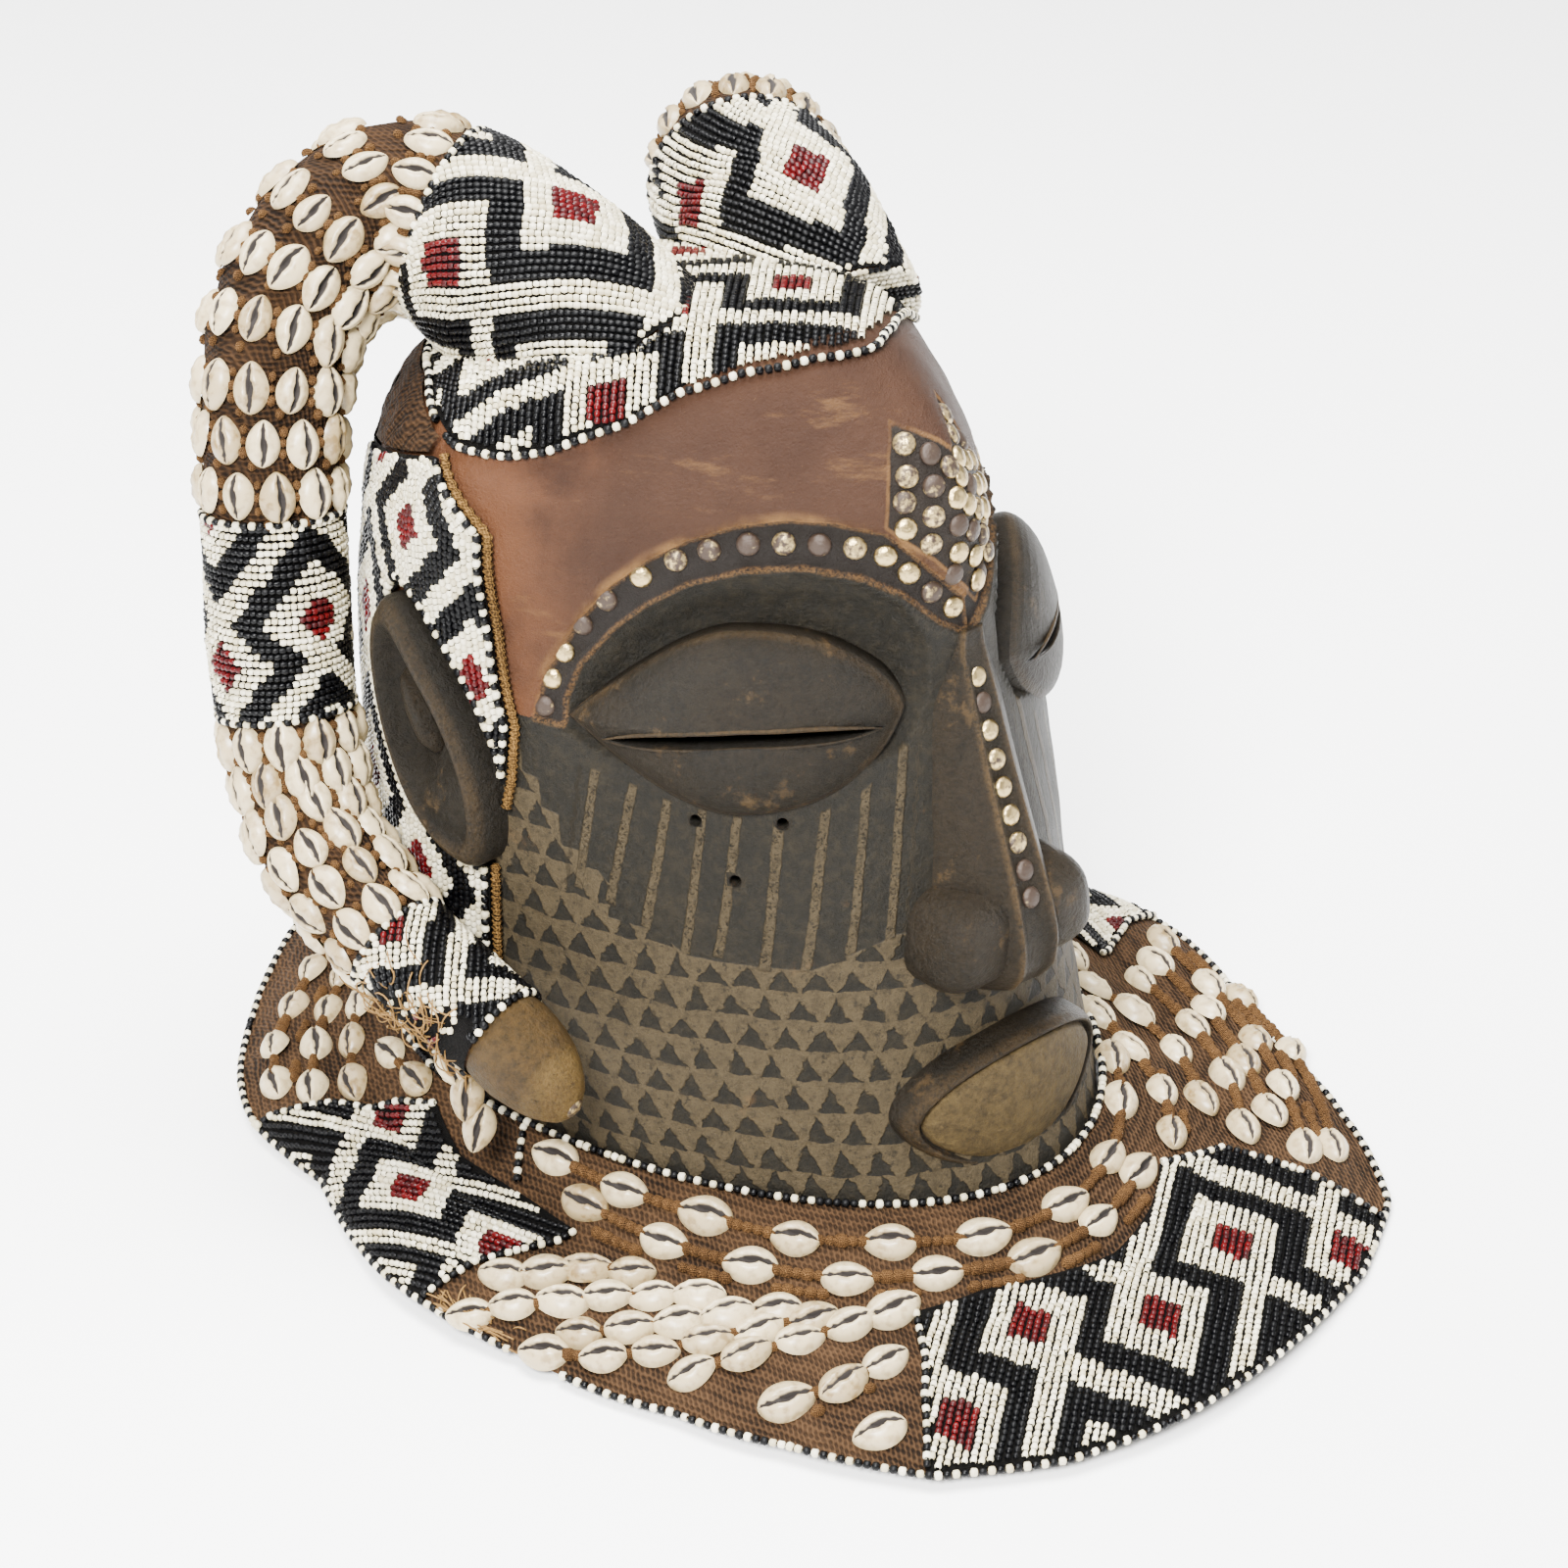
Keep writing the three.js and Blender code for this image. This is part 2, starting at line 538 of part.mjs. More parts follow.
function makeTrunk(side) {
  const count = TRUNK_SIDES;
  const bare = [...spread(0, BASE_SLEEVE[1], 3), ...MIDDLE_BAND,
    ...spread(TIP_SLEEVE[0], TIP_SLEEVE[1], 2), 1];
  const upper = spread(BASE_SLEEVE[1] + 0.012, MIDDLE_BAND[0] - 0.01, 10);
  const lower = spread(MIDDLE_BAND[1] + 0.01, TIP_SLEEVE[0] - 0.008, 6);
  const places = [...bare.map((u) => ({ u, row: -1 })), ...upper.map((u, row) => ({ u, row })),
    ...lower.map((u, row) => ({ u, row }))].sort((a, b) => a.u - b.u);
  const grow = (u, row, i) => {
    const r = places[row].row;
    if (r < 0) return 0;
    const shell = r % 2 === 1 && (i + (r % 4 === 1 ? 0 : 1)) % 2 === 0;
    return shell ? COWRIE_TALL : 0.5;
  };
  const rings = trunkRings(side, places.map((p) => p.u), count, grow);
  const body = loftSolid(rings.map((r) => r.map((p) => [p.x, p.y, p.z])));
  return clearOfHead(body);
}
function makeSleeve(side, span, rows) {
  const places = spread(span[0], span[1], rows);
  const outer = trunkRings(side, places, TRUNK_SIDES, (u) => {
    const t = (u - span[0]) / (span[1] - span[0]);
    return GAP + SLEEVE_THICK + (span === BASE_SLEEVE ? 1.5 * Math.sin(Math.PI * t) : 0);
  });
  const inner = trunkRings(side, places, TRUNK_SIDES, () => 2 * GAP);
  return clearOfHead(tubeSolid([...outer, ...inner.reverse()]));
}
function makeWoodTip(side) {
  const { curve, radius } = trunkLine(side);
  const end = curve.getPoint(1);
  const t = curve.getTangent(1).normalize();
  const across = new THREE.Vector3(1, 0, 0).addScaledVector(t, -t.x).normalize();
  const other = new THREE.Vector3().crossVectors(t, across);
  const rings = [[GAP, 1.02], [10, 1.04], [23, 0.9], [33, 0.64], [39.5, 0.28]].map(([d, k]) => {
    const centre = end.clone().addScaledVector(t, d).add(new THREE.Vector3(0, 0, -0.004 * d * d));
    return Array.from({ length: 11 }, (_, i) => {
      const a = (2 * Math.PI * i) / 11;
      const p = centre.clone().addScaledVector(across, radius(1) * k * Math.cos(a))
        .addScaledVector(other, radius(1) * k * Math.sin(a));
      return [p.x, p.y, p.z];
    });
  });
  return loftSolid(rings);
}

// Side panels and the cloth at the back: sheets that follow the head.
function frontHair(z) {
  return line([98, 160, 200, 222, 262, 300, 325], [0.482, 0.468, 0.44, 0.432, 0.45, 0.466, 0.548], z);
}
const PANEL_BACK = 0.735;
const PANEL_THICK = 2.8;
const SHEET_LIFT = 3.4;
const PANEL_FOOT = 92;
const PANEL_ROWS = [0, 0.16, 0.31, 0.46, 0.6, 0.73, 0.86, 1];
const panelTop = (s) => line([0.45, 0.55, PANEL_BACK], [326, 322, 296], s);
function headSheet(grid) {
  const at = (d) => grid.map((row) => row.map(([s, z]) => {
    return headPoint(s, z).addScaledVector(headOut(s, z), d);
  }));
  return sheetSolid(at(SHEET_LIFT + PANEL_THICK), at(SHEET_LIFT));
}
function makeSidePanel(side) {
  const grid = PANEL_ROWS.map((v) => [0, 0.2, 0.4, 0.6, 0.8, 1].map((t) => {
    const from = (z) => mix(frontHair(z), PANEL_BACK, t);
    const z = mix(PANEL_FOOT, panelTop(from(mix(PANEL_FOOT, 322, v))), v);
    return [side * from(z), z];
  }));
  const rows = [-8, 34].map((lift) => earRing(side, 12, 1.02, lift, 0, 3.5));
  return clearOfCap(headSheet(grid).subtract(loftSolid(rows)));
}
// Plain cloth over the back of the head, up to the cap.
function makeBackCloth() {
  const low = PANEL_BACK + 0.01;
  const shelf = panelTop(PANEL_BACK) + 1.5;
  const wrap = (w) => (w <= 1 ? w : w - 2);
  const top = (w) => capEdge(Math.min(w, 2 - w)) - 2;
  const across = [low, 0.78, 0.85, 0.925, 1, 1.075, 1.15, 1.22, 2 - low];
  let cloth = headSheet([86, 150, 205, 245, 286, shelf, 320, 400].map((z) => across.map((w) => [wrap(w), Math.min(z, top(w))])));
  for (const turn of [(w) => w, (w) => 2 - w]) {
    const cols = [0.56, 0.62, 0.68, PANEL_BACK, low, 0.78].map(turn);
    if (cols[0] > 1) cols.reverse();
    cloth = cloth.add(headSheet([0, 1, 2].map((row) => cols.map((w) => {
      const foot = panelTop(Math.min(w, 2 - w, PANEL_BACK)) + 1.5;
      return [wrap(w), row === 0 ? foot : row === 1 ? Math.max(foot, Math.min(320, top(w) - 2)) : top(w)];
    }))));
  }
  return cloth;
}

// Collar: a cloth that falls from the neck to the table in soft waves.
const RIM = { angle: [0, 17, 27, 38, 48, 64, 78, 90, 105, 118, 130, 144, 158, 180],
  out: [291, 293, 285, 256, 236, 224, 214, 206, 200, 214, 220, 228, 232, 236] };
const COLLAR_COLS = 72;
const COLLAR_ROWS = [0, 0.1, 0.17, 0.32, 0.43, 0.6, 0.78, 0.9, 1];
const CLOTH = 3;
const BEAD_SHEET = 2.2;
const MIN_LIFT = 0.4;
function neckRadius(angle) {
  const { pts } = halfLoop(NECK_Z);
  const a = Math.abs(angle);
  for (let i = 1; i < pts.length; i++) {
    const b1 = Math.atan2(pts[i].x, -pts[i].y);
    if (b1 >= a) {
      const b0 = Math.atan2(pts[i - 1].x, -pts[i - 1].y);
      const t = clamp((a - b0) / Math.max(1e-9, b1 - b0), 0, 1);
      return mix(Math.hypot(pts[i - 1].x, pts[i - 1].y), Math.hypot(pts[i].x, pts[i].y), t);
    }
  }
  return Math.hypot(pts[240].x, pts[240].y);
}
function rimRadius(angle) {
  const d = Math.abs(angle) * 180 / Math.PI;
  return line(RIM.angle, RIM.out, d) + 2.5 * Math.cos(9 * angle + 0.6);
}
function collarHeight(angle, w) {
  const fall = line([0, 0.13, 0.3, 0.45, 0.6, 0.75, 0.88, 1], [38.5, 33, 24.5, 17.5, 15.5, 12, 7, 1], w);
  const wave = 0.5 + 0.5 * Math.cos(7 * angle + 0.4) * Math.cos(2 * angle - 0.5);
  return MIN_LIFT + fall + 5 * wave * w * w;
}
function collarPoint(turn, w, lift) {
  const angle = Math.atan2(Math.sin(turn), Math.cos(turn));
  const r = mix(neckRadius(angle) + GAP + 0.8, rimRadius(angle), w);
  const z = collarHeight(angle, w);
  const e = 0.03;
  const slope = (collarHeight(angle, w + e) - collarHeight(angle, w - e))
    / ((rimRadius(angle) - neckRadius(angle)) * 2 * e);
  const n = Math.hypot(1, slope);
  const rr = r - (lift * slope) / n;
  return new THREE.Vector3(rr * Math.sin(angle), -rr * Math.cos(angle), z + lift / n);
}
const inFront = (deg) => Math.abs(deg) <= 27.5;
const atSide = (deg) => Math.abs(deg) >= 67.5 && Math.abs(deg) <= 117.5;
const atBack = (deg) => Math.abs(deg) >= 157.5;
function makeCollar() {
  const rows = COLLAR_ROWS.length;
  const cols = COLLAR_COLS;
  const under = [0, 0.32, 1];
  const pts = [];
  for (let r = 0; r < rows; r++) {
    for (let c = 0; c < cols; c++) {
      const deg = ((c * 360) / cols + 2.5 + 180) % 360 - 180;
      const angle = (deg * Math.PI) / 180;
      let lift = CLOTH;
      const panel = COLLAR_ROWS[r] > 0.31 && (inFront(deg) || atBack(deg));
      const sidePanel = COLLAR_ROWS[r] > 0.16 && atSide(deg);
      const onRow = r % 2 === 1 && r < rows - 1;
      const even = (c + (r % 4 === 1 ? 0 : 1)) % 2 === 0;
      if (onRow && even && !panel && !sidePanel) lift += COWRIE_TALL;
      const p = collarPoint(angle, COLLAR_ROWS[r], lift);
      pts.push([p.x, p.y, p.z]);
    }
  }
  const base = pts.length;
  for (const w of under) {
    for (let c = 0; c < cols; c++) {
      const p = collarPoint(((c * 360) / cols + 2.5) * (Math.PI / 180), w, 0);
      pts.push([p.x, p.y, p.z]);
    }
  }
  const tris = [];
  const quad = (a, b, c, d) => tris.push([a, b, c], [a, c, d]);
  for (let c = 0; c < cols; c++) {
    const d = (c + 1) % cols;
    for (let r = 0; r < rows - 1; r++) quad(r * cols + c, r * cols + d, (r + 1) * cols + d, (r + 1) * cols + c);
    for (let r = 0; r < under.length - 1; r++) {
      quad(base + r * cols + c, base + (r + 1) * cols + c, base + (r + 1) * cols + d, base + r * cols + d);
    }
    quad(c, base + c, base + d, d);
    const o = (rows - 1) * cols;
    const u = base + (under.length - 1) * cols;
    quad(o + c, o + d, u + d, u + c);
  }
  let m = toManifold(pts, tris);
  if (m.volume() < 0) m = toManifold(pts, tris.map(([a, b, c]) => [a, c, b]));
  return m;
}
// Beaded panel on the collar between two angles, from one of the collar's rows out to the rim.
function makeCollarPanel(fromDeg, toDeg, firstRow) {
  const cols = Math.round(Math.abs(toDeg - fromDeg) / 5);
  const ws = firstRow < 3 ? [0.17, 0.32, 0.54, 0.78, 1] : [0.32, 0.54, 0.78, 1];
  const grid = (lift) => ws.map((w) => spread(fromDeg, toDeg, cols).map((deg) => collarPoint(
    (deg * Math.PI) / 180, w, lift)));
  return sheetSolid(grid(CLOTH + 4 * GAP + BEAD_SHEET), grid(CLOTH + 4 * GAP));
}

function build() {
  const group = new THREE.Group();
  group.add(toMesh(makeHelmet(), 'wooden_helmet', 'wood'));
  group.add(toMesh(makeCap(), 'crown_cap', 'beads'));
  for (const side of [-1, 1]) {
    const hand = side < 0 ? 'right' : 'left';
    group.add(toMesh(makeTrunk(side), `${hand}_trunk`, 'cloth'));
    group.add(toMesh(makeSleeve(side, BASE_SLEEVE, 3), `${hand}_trunk_base_sleeve`, 'beads'));
    group.add(toMesh(makeSleeve(side, MIDDLE_BAND, 1), `${hand}_trunk_middle_band`, 'beads'));
    group.add(toMesh(makeSleeve(side, TIP_SLEEVE, 2), `${hand}_trunk_tip_sleeve`, 'beads'));
    group.add(toMesh(makeWoodTip(side), `${hand}_trunk_wooden_tip`, 'tip'));
    group.add(toMesh(makeSidePanel(side), `${hand}_side_panel`, 'beads'));
    group.add(toMesh(makeCollarPanel(side * 67.5, side * 117.5, 2), `${hand}_collar_panel`, 'beads'));
  }
  group.add(toMesh(makeBackCloth(), 'back_cloth', 'cloth'));
  group.add(toMesh(makeCollar(), 'cloth_collar', 'cloth'));
  group.add(toMesh(makeCollarPanel(-27.5, 27.5, 4), 'front_collar_panel', 'beads'));
  group.add(toMesh(makeCollarPanel(157.5, 202.5, 4), 'back_collar_panel', 'beads'));
  const box = new THREE.Box3().setFromObject(group);
  const mid = box.getCenter(new THREE.Vector3());
  for (const mesh of group.children) mesh.geometry.translate(-mid.x, -mid.y, -box.min.z);
  return group;
}
export default build();
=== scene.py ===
"""Beaded helmet mask with two stuffed trunks: carved wood, bead sheets, cowrie cloth and a stiff collar."""
import json
import logging
import math
from dataclasses import dataclass, field
from enum import Enum
from typing import Callable, Sequence

import bpy
import numpy as np
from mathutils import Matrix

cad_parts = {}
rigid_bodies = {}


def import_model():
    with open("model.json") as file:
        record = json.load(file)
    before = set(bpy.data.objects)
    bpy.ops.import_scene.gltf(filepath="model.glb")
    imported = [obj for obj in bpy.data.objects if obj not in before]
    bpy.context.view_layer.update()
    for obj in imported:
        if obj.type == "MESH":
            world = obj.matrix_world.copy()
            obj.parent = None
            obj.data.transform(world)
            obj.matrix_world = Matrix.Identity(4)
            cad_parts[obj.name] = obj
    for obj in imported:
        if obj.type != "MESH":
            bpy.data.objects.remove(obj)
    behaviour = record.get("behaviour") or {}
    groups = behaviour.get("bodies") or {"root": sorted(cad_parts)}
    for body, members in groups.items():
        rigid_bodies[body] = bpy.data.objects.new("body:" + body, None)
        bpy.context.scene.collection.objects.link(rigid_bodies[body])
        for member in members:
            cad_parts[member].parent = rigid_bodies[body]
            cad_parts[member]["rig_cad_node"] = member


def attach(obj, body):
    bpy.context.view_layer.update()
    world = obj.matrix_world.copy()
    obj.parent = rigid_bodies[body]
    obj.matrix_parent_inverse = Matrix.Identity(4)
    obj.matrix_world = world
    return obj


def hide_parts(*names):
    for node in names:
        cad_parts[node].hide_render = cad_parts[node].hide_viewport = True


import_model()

LOG = logging.getLogger("mask")
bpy.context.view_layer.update()  # box of the solids, before any is replaced
MM = 0.001  # shapes are in millimetres and turned into metres when a mesh is built
SIDES = {-1: "right", 1: "left"}  # the mask's own right is at lower x
TOP = 375  # height of the crown
NECK_Z = 38.0  # height at which the collar's neck follows the head
LOOP_MM = 450.0  # way round one side of the head, from the middle of the face to the back
FRAME_SHIFT = (-0.055, 29.39, 0.0)  # from the head's own origin to the frame's
SEED = 7  # start of the random draws
HUB = np.array([-8.0, -33.0, 373.5])  # top of the crown, where the rows of the cap meet


class Bead(Enum):
    """Colours that the beads are sorted in, by the order of their materials."""

    WHITE = 0
    BLACK = 1
    RED = 2


def line(xs: Sequence[float], ys: Sequence[float], v: np.ndarray) -> np.ndarray:
    """Straight lines between the values ys at places xs, read off at v."""
    return np.interp(v, xs, ys)


def smooth(a: float, b: float, v: np.ndarray) -> np.ndarray:
    """A soft step from 0 at a to 1 at b."""
    t = np.clip((np.asarray(v, float) - a) / (b - a), 0, 1)
    return t * t * (3 - 2 * t)


def mix(a: np.ndarray, b: np.ndarray, t: np.ndarray) -> np.ndarray:
    """The value a share t of the way from a to b."""
    return a + (b - a) * t


def unit(v: np.ndarray) -> np.ndarray:
    """Vectors scaled to length one."""
    return v / np.maximum(np.linalg.norm(v, axis=-1, keepdims=True), 1e-9)


def ripple(p: np.ndarray, seed: int, size: float) -> np.ndarray:
    """A soft, repeatable unevenness in space, from about -1 to 1.

    Args:
        p: Points in millimetres, any shape ending in 3.
        seed: Chooses the waves.
        size: Rough width of a hump in millimetres.

    Returns:
        One value for each point.
    """
    rng = np.random.default_rng(seed)
    total = np.zeros(p.shape[:-1])
    for _ in range(6):
        way = unit(rng.normal(size=3)) * (2 * math.pi / size) * rng.uniform(0.6, 1.5)
        total += np.sin(p @ way + rng.uniform(0, 6.3))
    return total / 3.2


def edge_distance(points: np.ndarray, outline: np.ndarray, closed: bool = True) -> np.ndarray:
    """Distance from each point of a plane to a drawn line.

    Args:
        points: Array of (n, 2).
        outline: Corners of the line, (m, 2).
        closed: True where the last corner joins the first; points inside then get a minus sign.

    Returns:
        One distance for each point.
    """
    a = np.asarray(outline, float)
    b = np.roll(a, -1, axis=0)
    if not closed:
        a, b = a[:-1], b[:-1]
    x, y = points.T
    best = np.full(len(points), 1e9)
    odd = np.zeros(len(points), bool)
    for (ax, ay), (bx, by) in zip(a, b):
        dx, dy = bx - ax, by - ay
        t = np.clip(((x - ax) * dx + (y - ay) * dy) / max(dx * dx + dy * dy, 1e-9), 0, 1)
        best = np.minimum(best, np.hypot(x - ax - t * dx, y - ay - t * dy))
        if closed and dy:
            odd ^= ((ay > y) != (by > y)) & (x < (y - ay) * dx / dy + ax)
    return np.where(odd, -best, best)


def grid_faces(rows: int, cols: int, wrap: bool = False, flip: bool = False) -> np.ndarray:
    """Four-cornered faces of a grid whose points run along each row.

    Args:
        rows: Number of rows.
        cols: Number of points in a row.
        wrap: True where a row closes on itself.
        flip: True to turn the faces over.

    Returns:
        Array of (faces, 4) point numbers.
    """
    i = np.arange(rows - 1)[:, None]
    j = np.arange(cols if wrap else cols - 1)[None, :]
    k = (j + 1) % cols
    faces = np.stack([i * cols + j, i * cols + k, (i + 1) * cols + k, (i + 1) * cols + j], -1).reshape(-1, 4)
    return faces[:, ::-1] if flip else faces


def walked(path: np.ndarray) -> np.ndarray:
    """Distance from the start to each point of a path."""
    return np.concatenate([[0], np.cumsum(np.linalg.norm(np.diff(path, axis=0), axis=1))])


def even_walk(path: np.ndarray, pitch: float, start: float = 0.5) -> tuple[np.ndarray, np.ndarray]:
    """Places a steady pitch apart along a path.

    Args:
        path: Points of the path, (n, 3).
        pitch: Distance between places.
        start: Share of a pitch before the first place.

    Returns:
        The path position of each place, as a fractional point number, and its distance from the start.
    """
    run = walked(path)
    count = int((run[-1] - start * pitch) / pitch) + 1
    along = (start + np.arange(max(count, 0))) * pitch
    along = along[along <= run[-1]]
    return np.interp(along, run, np.arange(len(path))), along


def pick(rows: np.ndarray, at: np.ndarray) -> np.ndarray:
    """Rows of an array at fractional numbers."""
    i = np.clip(at.astype(int), 0, len(rows) - 2)
    f = (at - i)[:, None]
    return rows[i] * (1 - f) + rows[i + 1] * f


def circle(count: int) -> np.ndarray:
    """Even angles once round."""
    return 2 * np.pi * np.arange(count) / count


def hoop(one: np.ndarray, other: np.ndarray, count: int) -> np.ndarray:
    """Points of a unit ring, or of a ring for each row, from two directions that lie in it."""
    turn = circle(count)[:, None]
    return one * np.cos(turn) + other * np.sin(turn)


def tube(path: np.ndarray, up: np.ndarray, radius: float, count: int = 5) -> np.ndarray:
    """Rings round a thin thread that lies on a surface with its outward directions up."""
    across = np.cross(unit(np.gradient(path, axis=0)), up)
    return path[:, None] + radius * hoop(up[:, None], across[:, None], count)


def runs_of(alive: np.ndarray, closed: bool = False) -> list[np.ndarray]:
    """Unbroken runs of points where a value holds.

    Args:
        alive: The value at each point.
        closed: True where the first point follows the last.

    Returns:
        The point numbers of each run; a run at the start comes last.
    """
    alive = alive if closed else np.append(alive, False)
    if alive.all():
        return [np.arange(len(alive))]
    order = np.roll(np.arange(len(alive)), -int(np.argmin(alive)))
    parts = np.split(order, np.flatnonzero(~alive[order]))
    return [part[alive[part]] for part in parts if alive[part].any()]


class Shell:
    """Points and faces gathered from several parts before they become one object."""

    def __init__(self, *marks: str) -> None:
        """Starts empty; marks are the names of values kept for each point."""
        self.points: list[np.ndarray] = []
        self.faces: list[np.ndarray] = []
        self.looks: list[np.ndarray] = []
        self.marks: dict[str, list[np.ndarray]] = {name: [] for name in marks}
        self.count = 0

    def add(self, points: np.ndarray, faces: np.ndarray | list, look: int | list | np.ndarray = 0,
            **marks: float) -> None:
        """Adds one part.

        Args:
            points: Its points in millimetres.
            faces: One array of faces, or a list of arrays.
            look: Material number, one for each face, or a list with one for each array.
            marks: Values for the points, by name.
        """
        points = np.asarray(points, float).reshape(-1, 3)
        groups = faces if isinstance(faces, list) else [faces]
        for group, number in zip(groups, look if isinstance(look, list) else [look] * len(groups)):
            self.faces.append(np.asarray(group) + self.count)
            self.looks.append(np.broadcast_to(number, len(group)))
        for name, kept in self.marks.items():
            kept.append(np.broadcast_to(np.asarray(marks.get(name, 0.0), float).ravel(), len(points)))
        self.points.append(points)
        self.count += len(points)

    def loft(self, rings: np.ndarray | list, look: int = 0, low: bool = True, high: bool = True,
             flip: bool = False, **marks: float) -> None:
        """Adds a skin over closed rings, with a fan over each end that is asked for.

        Args:
            rings: Array of (rings, points, 3).
            look: Material number.
            low: True to close the first ring.
            high: True to close the last ring.
            flip: True to turn the faces over.
            marks: Values for the points of the rings, by name.
        """
        rings = np.array(rings, float)[:, ::-1 if flip else 1]
        rows, cols = rings.shape[:2]
        points, faces, j = [rings.reshape(-1, 3)], [grid_faces(rows, cols, True)], np.arange(cols)
        for wanted, row, way in ((low, 0, -1), (high, rows - 1, 1)):
            if wanted:
                middle = np.full(cols, rows * cols + len(points) - 1)
                points.append(rings[row].mean(0)[None])
                faces.append(np.stack([row * cols + j, row * cols + (j + 1) % cols, middle], -1)[:, ::way])
        full = {}
        for name, value in marks.items():
            value = np.broadcast_to(value, (rows, cols)).ravel()
            full[name] = np.concatenate([value, [value[:cols].mean()] * low, [value[-cols:].mean()] * high])
        self.add(np.concatenate(points), faces, look, **full)

    def build(self, name: str, materials: list) -> bpy.types.Object:
        """Makes the object.

        Args:
            name: Its name.
            materials: Materials in the order of the look numbers.

        Returns:
            The new object, linked to the scene.
        """
        sizes = np.concatenate([np.full(len(f), f.shape[1]) for f in self.faces])
        points = (np.concatenate(self.points) + FRAME_SHIFT) * MM
        corners = np.concatenate([f.ravel() for f in self.faces]).astype(np.int32)
        mesh = bpy.data.meshes.new(name)
        mesh.vertices.add(len(points))
        mesh.vertices.foreach_set("co", points.astype(np.float32).ravel())
        mesh.loops.add(len(corners))
        mesh.loops.foreach_set("vertex_index", corners)
        mesh.polygons.add(len(sizes))
        mesh.polygons.foreach_set("loop_start", np.concatenate([[0], np.cumsum(sizes)[:-1]]).astype(np.int32))
        mesh.polygons.foreach_set("material_index", np.concatenate(self.looks).astype(np.int32))
        mesh.polygons.foreach_set("use_smooth", np.full(len(sizes), True))
        for mark, kept in self.marks.items():
            layer = mesh.attributes.new(mark, "FLOAT", "POINT")
            layer.data.foreach_set("value", np.concatenate(kept).astype(np.float32))
        if "across" in self.marks:
            flat = np.stack([np.concatenate(self.marks[k]) for k in ("across", "upward")], -1)[corners] * 0.01
            mesh.uv_layers.new(name="UVMap").data.foreach_set("uv", flat.astype(np.float32).ravel())
        mesh.update(calc_edges=True)
        mesh.validate()
        for material in materials:
            mesh.materials.append(material)
        made = bpy.data.objects.new(name, mesh)
        bpy.context.scene.collection.objects.link(made)
        return made


def dress(pieces: Sequence[bpy.types.Object], node: str | None = None) -> None:
    """Rides pieces on the body and, where a node is given, hides that solid.

    Args:
        pieces: The pieces.
        node: The solid that the first piece stands for.
    """
    for piece in pieces:
        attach(piece, "root")
    if node:
        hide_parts(node)


def lay_sheet(piece: bpy.types.Object, wide: float) -> None:
    """Logs a cloth's width, in metres, with the length that follows from its area."""
    area = float(sum(p.area for p in piece.data.polygons))
    LOG.info("sheet %s cut to %.3f x %.3f m", piece.name, wide, area / wide)


class Value:
    """A node's output, so that an expression on numbers adds its Math nodes."""

    def __init__(self, graph: "Graph", socket: bpy.types.NodeSocket) -> None:
        """Wraps one output socket of a graph."""
        self.graph, self.socket = graph, socket

    def math(self, operation: str, *others: "float | Value", clamp: bool = False) -> "Value":
        """One Math node with this value first."""
        inputs = dict(enumerate((self, *others)))
        return self.graph.node("ShaderNodeMath", {"operation": operation, "use_clamp": clamp}, inputs)

    def __add__(self, other: "float | Value") -> "Value":
        """Sum."""
        return self.math("ADD", other)

    __radd__ = __add__

    def __mul__(self, other: "float | Value") -> "Value":
        """Product."""
        return self.math("MULTIPLY", other)

    __rmul__ = __mul__

    def __sub__(self, other: "float | Value") -> "Value":
        """Difference."""
        return self.math("SUBTRACT", other)

    def __rsub__(self, other: float) -> "Value":
        """Difference from a plain number."""
        return (self * -1.0) + other

    def __truediv__(self, other: "float | Value") -> "Value":
        """Quotient."""
        return self.math("DIVIDE", other)

    def __abs__(self) -> "Value":
        """Size without sign."""
        return self.math("ABSOLUTE")

    def floor(self) -> "Value":
        """Whole part."""
        return self.math("FLOOR")

    def fract(self) -> "Value":
        """Part after the point."""
        return self.math("FRACT")

    def most(self, other: "float | Value") -> "Value":
        """The larger of two."""
        return self.math("MAXIMUM", other)

    def step(self, start: float, end: float) -> "Value":
        """A soft step from 0 at start to 1 at end."""
        settings = {"interpolation_type": "SMOOTHSTEP"}
        if start > end:
            return 1 - self.step(end, start)
        return self.graph.node("ShaderNodeMapRange", settings, {0: self, 1: start, 2: end, 3: 0.0, 4: 1.0})


